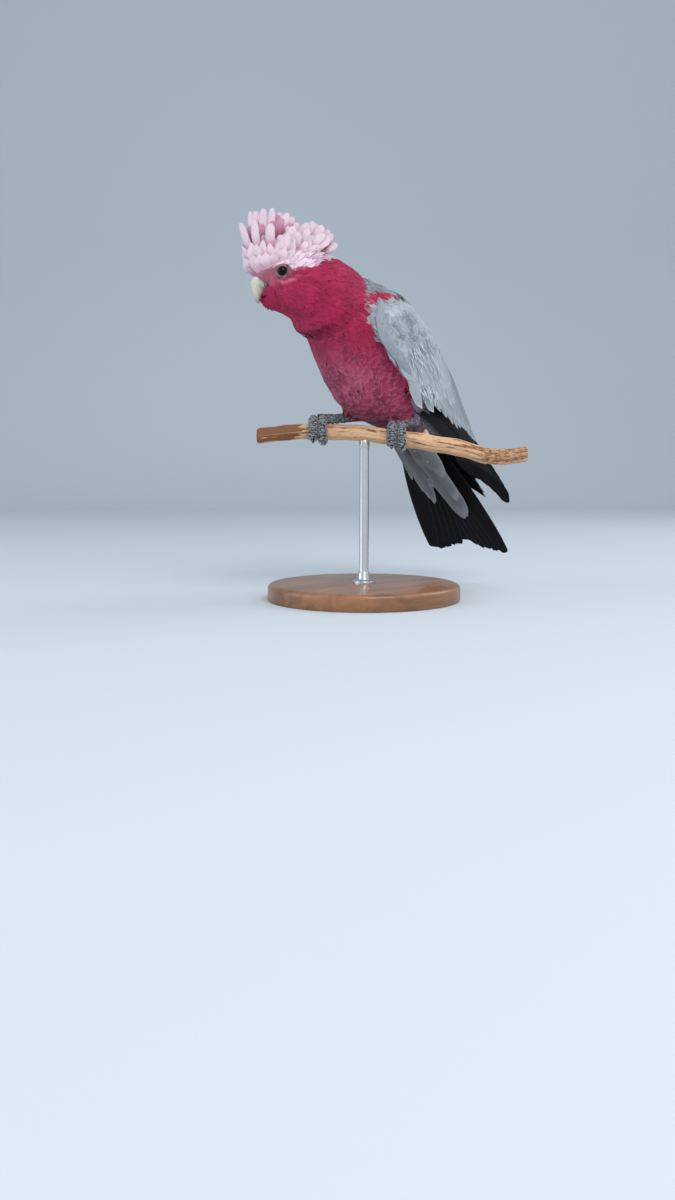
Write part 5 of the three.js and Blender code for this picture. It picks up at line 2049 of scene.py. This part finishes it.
class GALAH_OT_make_bill(bpy.types.Operator):
    """Make both halves of the bill, and the small feathers that reach over its sides"""

    bl_idname = "galah.make_bill"
    bl_label = "Make Bill"

    def execute(self, context):
        horn = bill_material(context.scene.galah_head.horn)
        bills = [bill_half(name, *shape, horn) for name, shape in BILL.items()]
        lay_bridle(the_skin(), bills, fresh_dice(5))
        return {"FINISHED"}


class GALAH_OT_make_eyes(bpy.types.Operator):
    """Make the eyes and the bare wrinkled rings round them"""

    bl_idname = "galah.make_eyes"
    bl_label = "Make Eyes"

    def execute(self, context):
        settings, skin = context.scene.galah_head, the_skin()
        eye, ring = eye_material(settings.iris), eye_ring_material(settings.ring)
        for side in SIDES:
            make_eye(side, eye)
            make_eye_ring(side, skin, ring)
        return {"FINISHED"}


class GALAH_OT_make_feet(bpy.types.Operator):
    """Lay the scales of the toes and shanks, and make the claws"""

    bl_idname = "galah.make_feet"
    bl_label = "Make Feet"

    def execute(self, context):
        settings, skin, dice = context.scene.galah_feet, the_skin(), fresh_dice(6)
        scale, horn = foot_material(settings.scale), claw_material()
        for side in SIDES:
            make_foot(side, settings.rows, skin, dice, scale, horn)
        return {"FINISHED"}


class GALAH_OT_make_perch(bpy.types.Operator):
    """Make the cut length of branch"""

    bl_idname = "galah.make_perch"
    bl_label = "Make Perch"

    def execute(self, context):
        settings = context.scene.galah_perch
        make_perch(branch_material(settings.wood, settings.bark), fresh_dice(7))
        return {"FINISHED"}


class GALAH_OT_make_stand(bpy.types.Operator):
    """Make the base and rod of the stand"""

    bl_idname = "galah.make_stand"
    bl_label = "Make Stand"

    def execute(self, context):
        settings = context.scene.galah_stand
        make_stand(settings.edge, wood_material(settings.wood), steel_material(settings.steel))
        return {"FINISHED"}


class GALAH_OT_set_stage(bpy.types.Operator):
    """Set the floor, lights and camera"""

    bl_idname = "galah.set_stage"
    bl_label = "Set Stage"

    def execute(self, context):
        settings = context.scene.galah_stage
        set_stage(settings.light, settings.floor)
        return {"FINISHED"}


STEPS = [
    GALAH_OT_make_skin, GALAH_OT_grow_coat, GALAH_OT_lay_wings, GALAH_OT_lay_tail, GALAH_OT_raise_crest,
    GALAH_OT_make_bill, GALAH_OT_make_eyes, GALAH_OT_make_feet, GALAH_OT_make_perch, GALAH_OT_make_stand,
    GALAH_OT_set_stage,
]
GROUPS = {
    "galah_plumage": PlumageSettings, "galah_head": HeadSettings, "galah_feet": FootSettings,
    "galah_perch": PerchSettings, "galah_stand": StandSettings, "galah_stage": StageSettings,
}


class GALAH_PT_model(bpy.types.Panel):
    """The settings of the galah, and the steps that make it"""

    bl_idname = "GALAH_PT_model"
    bl_label = "Galah"
    bl_space_type = "VIEW_3D"
    bl_region_type = "UI"
    bl_category = "Galah"

    def draw(self, context):
        for name, group in GROUPS.items():
            box = self.layout.box()
            for setting in group.__annotations__:
                box.prop(getattr(context.scene, name), setting)
        column = self.layout.column(align=True)
        for step in STEPS:
            column.operator(step.bl_idname)


def register():
    for kind in [*GROUPS.values(), *STEPS, GALAH_PT_model]:
        bpy.utils.register_class(kind)
    for name, group in GROUPS.items():
        setattr(bpy.types.Scene, name, PointerProperty(type=group))


def unregister():
    for name in GROUPS:
        delattr(bpy.types.Scene, name)
    for kind in [GALAH_PT_model, *reversed(STEPS), *GROUPS.values()]:
        bpy.utils.unregister_class(kind)


def main():
    register()
    for name in ("Cube", "Light", "Camera"):
        if name in bpy.data.objects:
            bpy.data.objects.remove(bpy.data.objects[name])
    bpy.ops.galah.make_skin()
    bpy.ops.galah.grow_coat()
    bpy.ops.galah.lay_wings()
    bpy.ops.galah.lay_tail()
    bpy.ops.galah.raise_crest()
    bpy.ops.galah.make_bill()
    bpy.ops.galah.make_eyes()
    bpy.ops.galah.make_feet()
    bpy.ops.galah.make_perch()
    bpy.ops.galah.make_stand()
    bpy.ops.galah.set_stage()


if __name__ == "__main__":
    main()
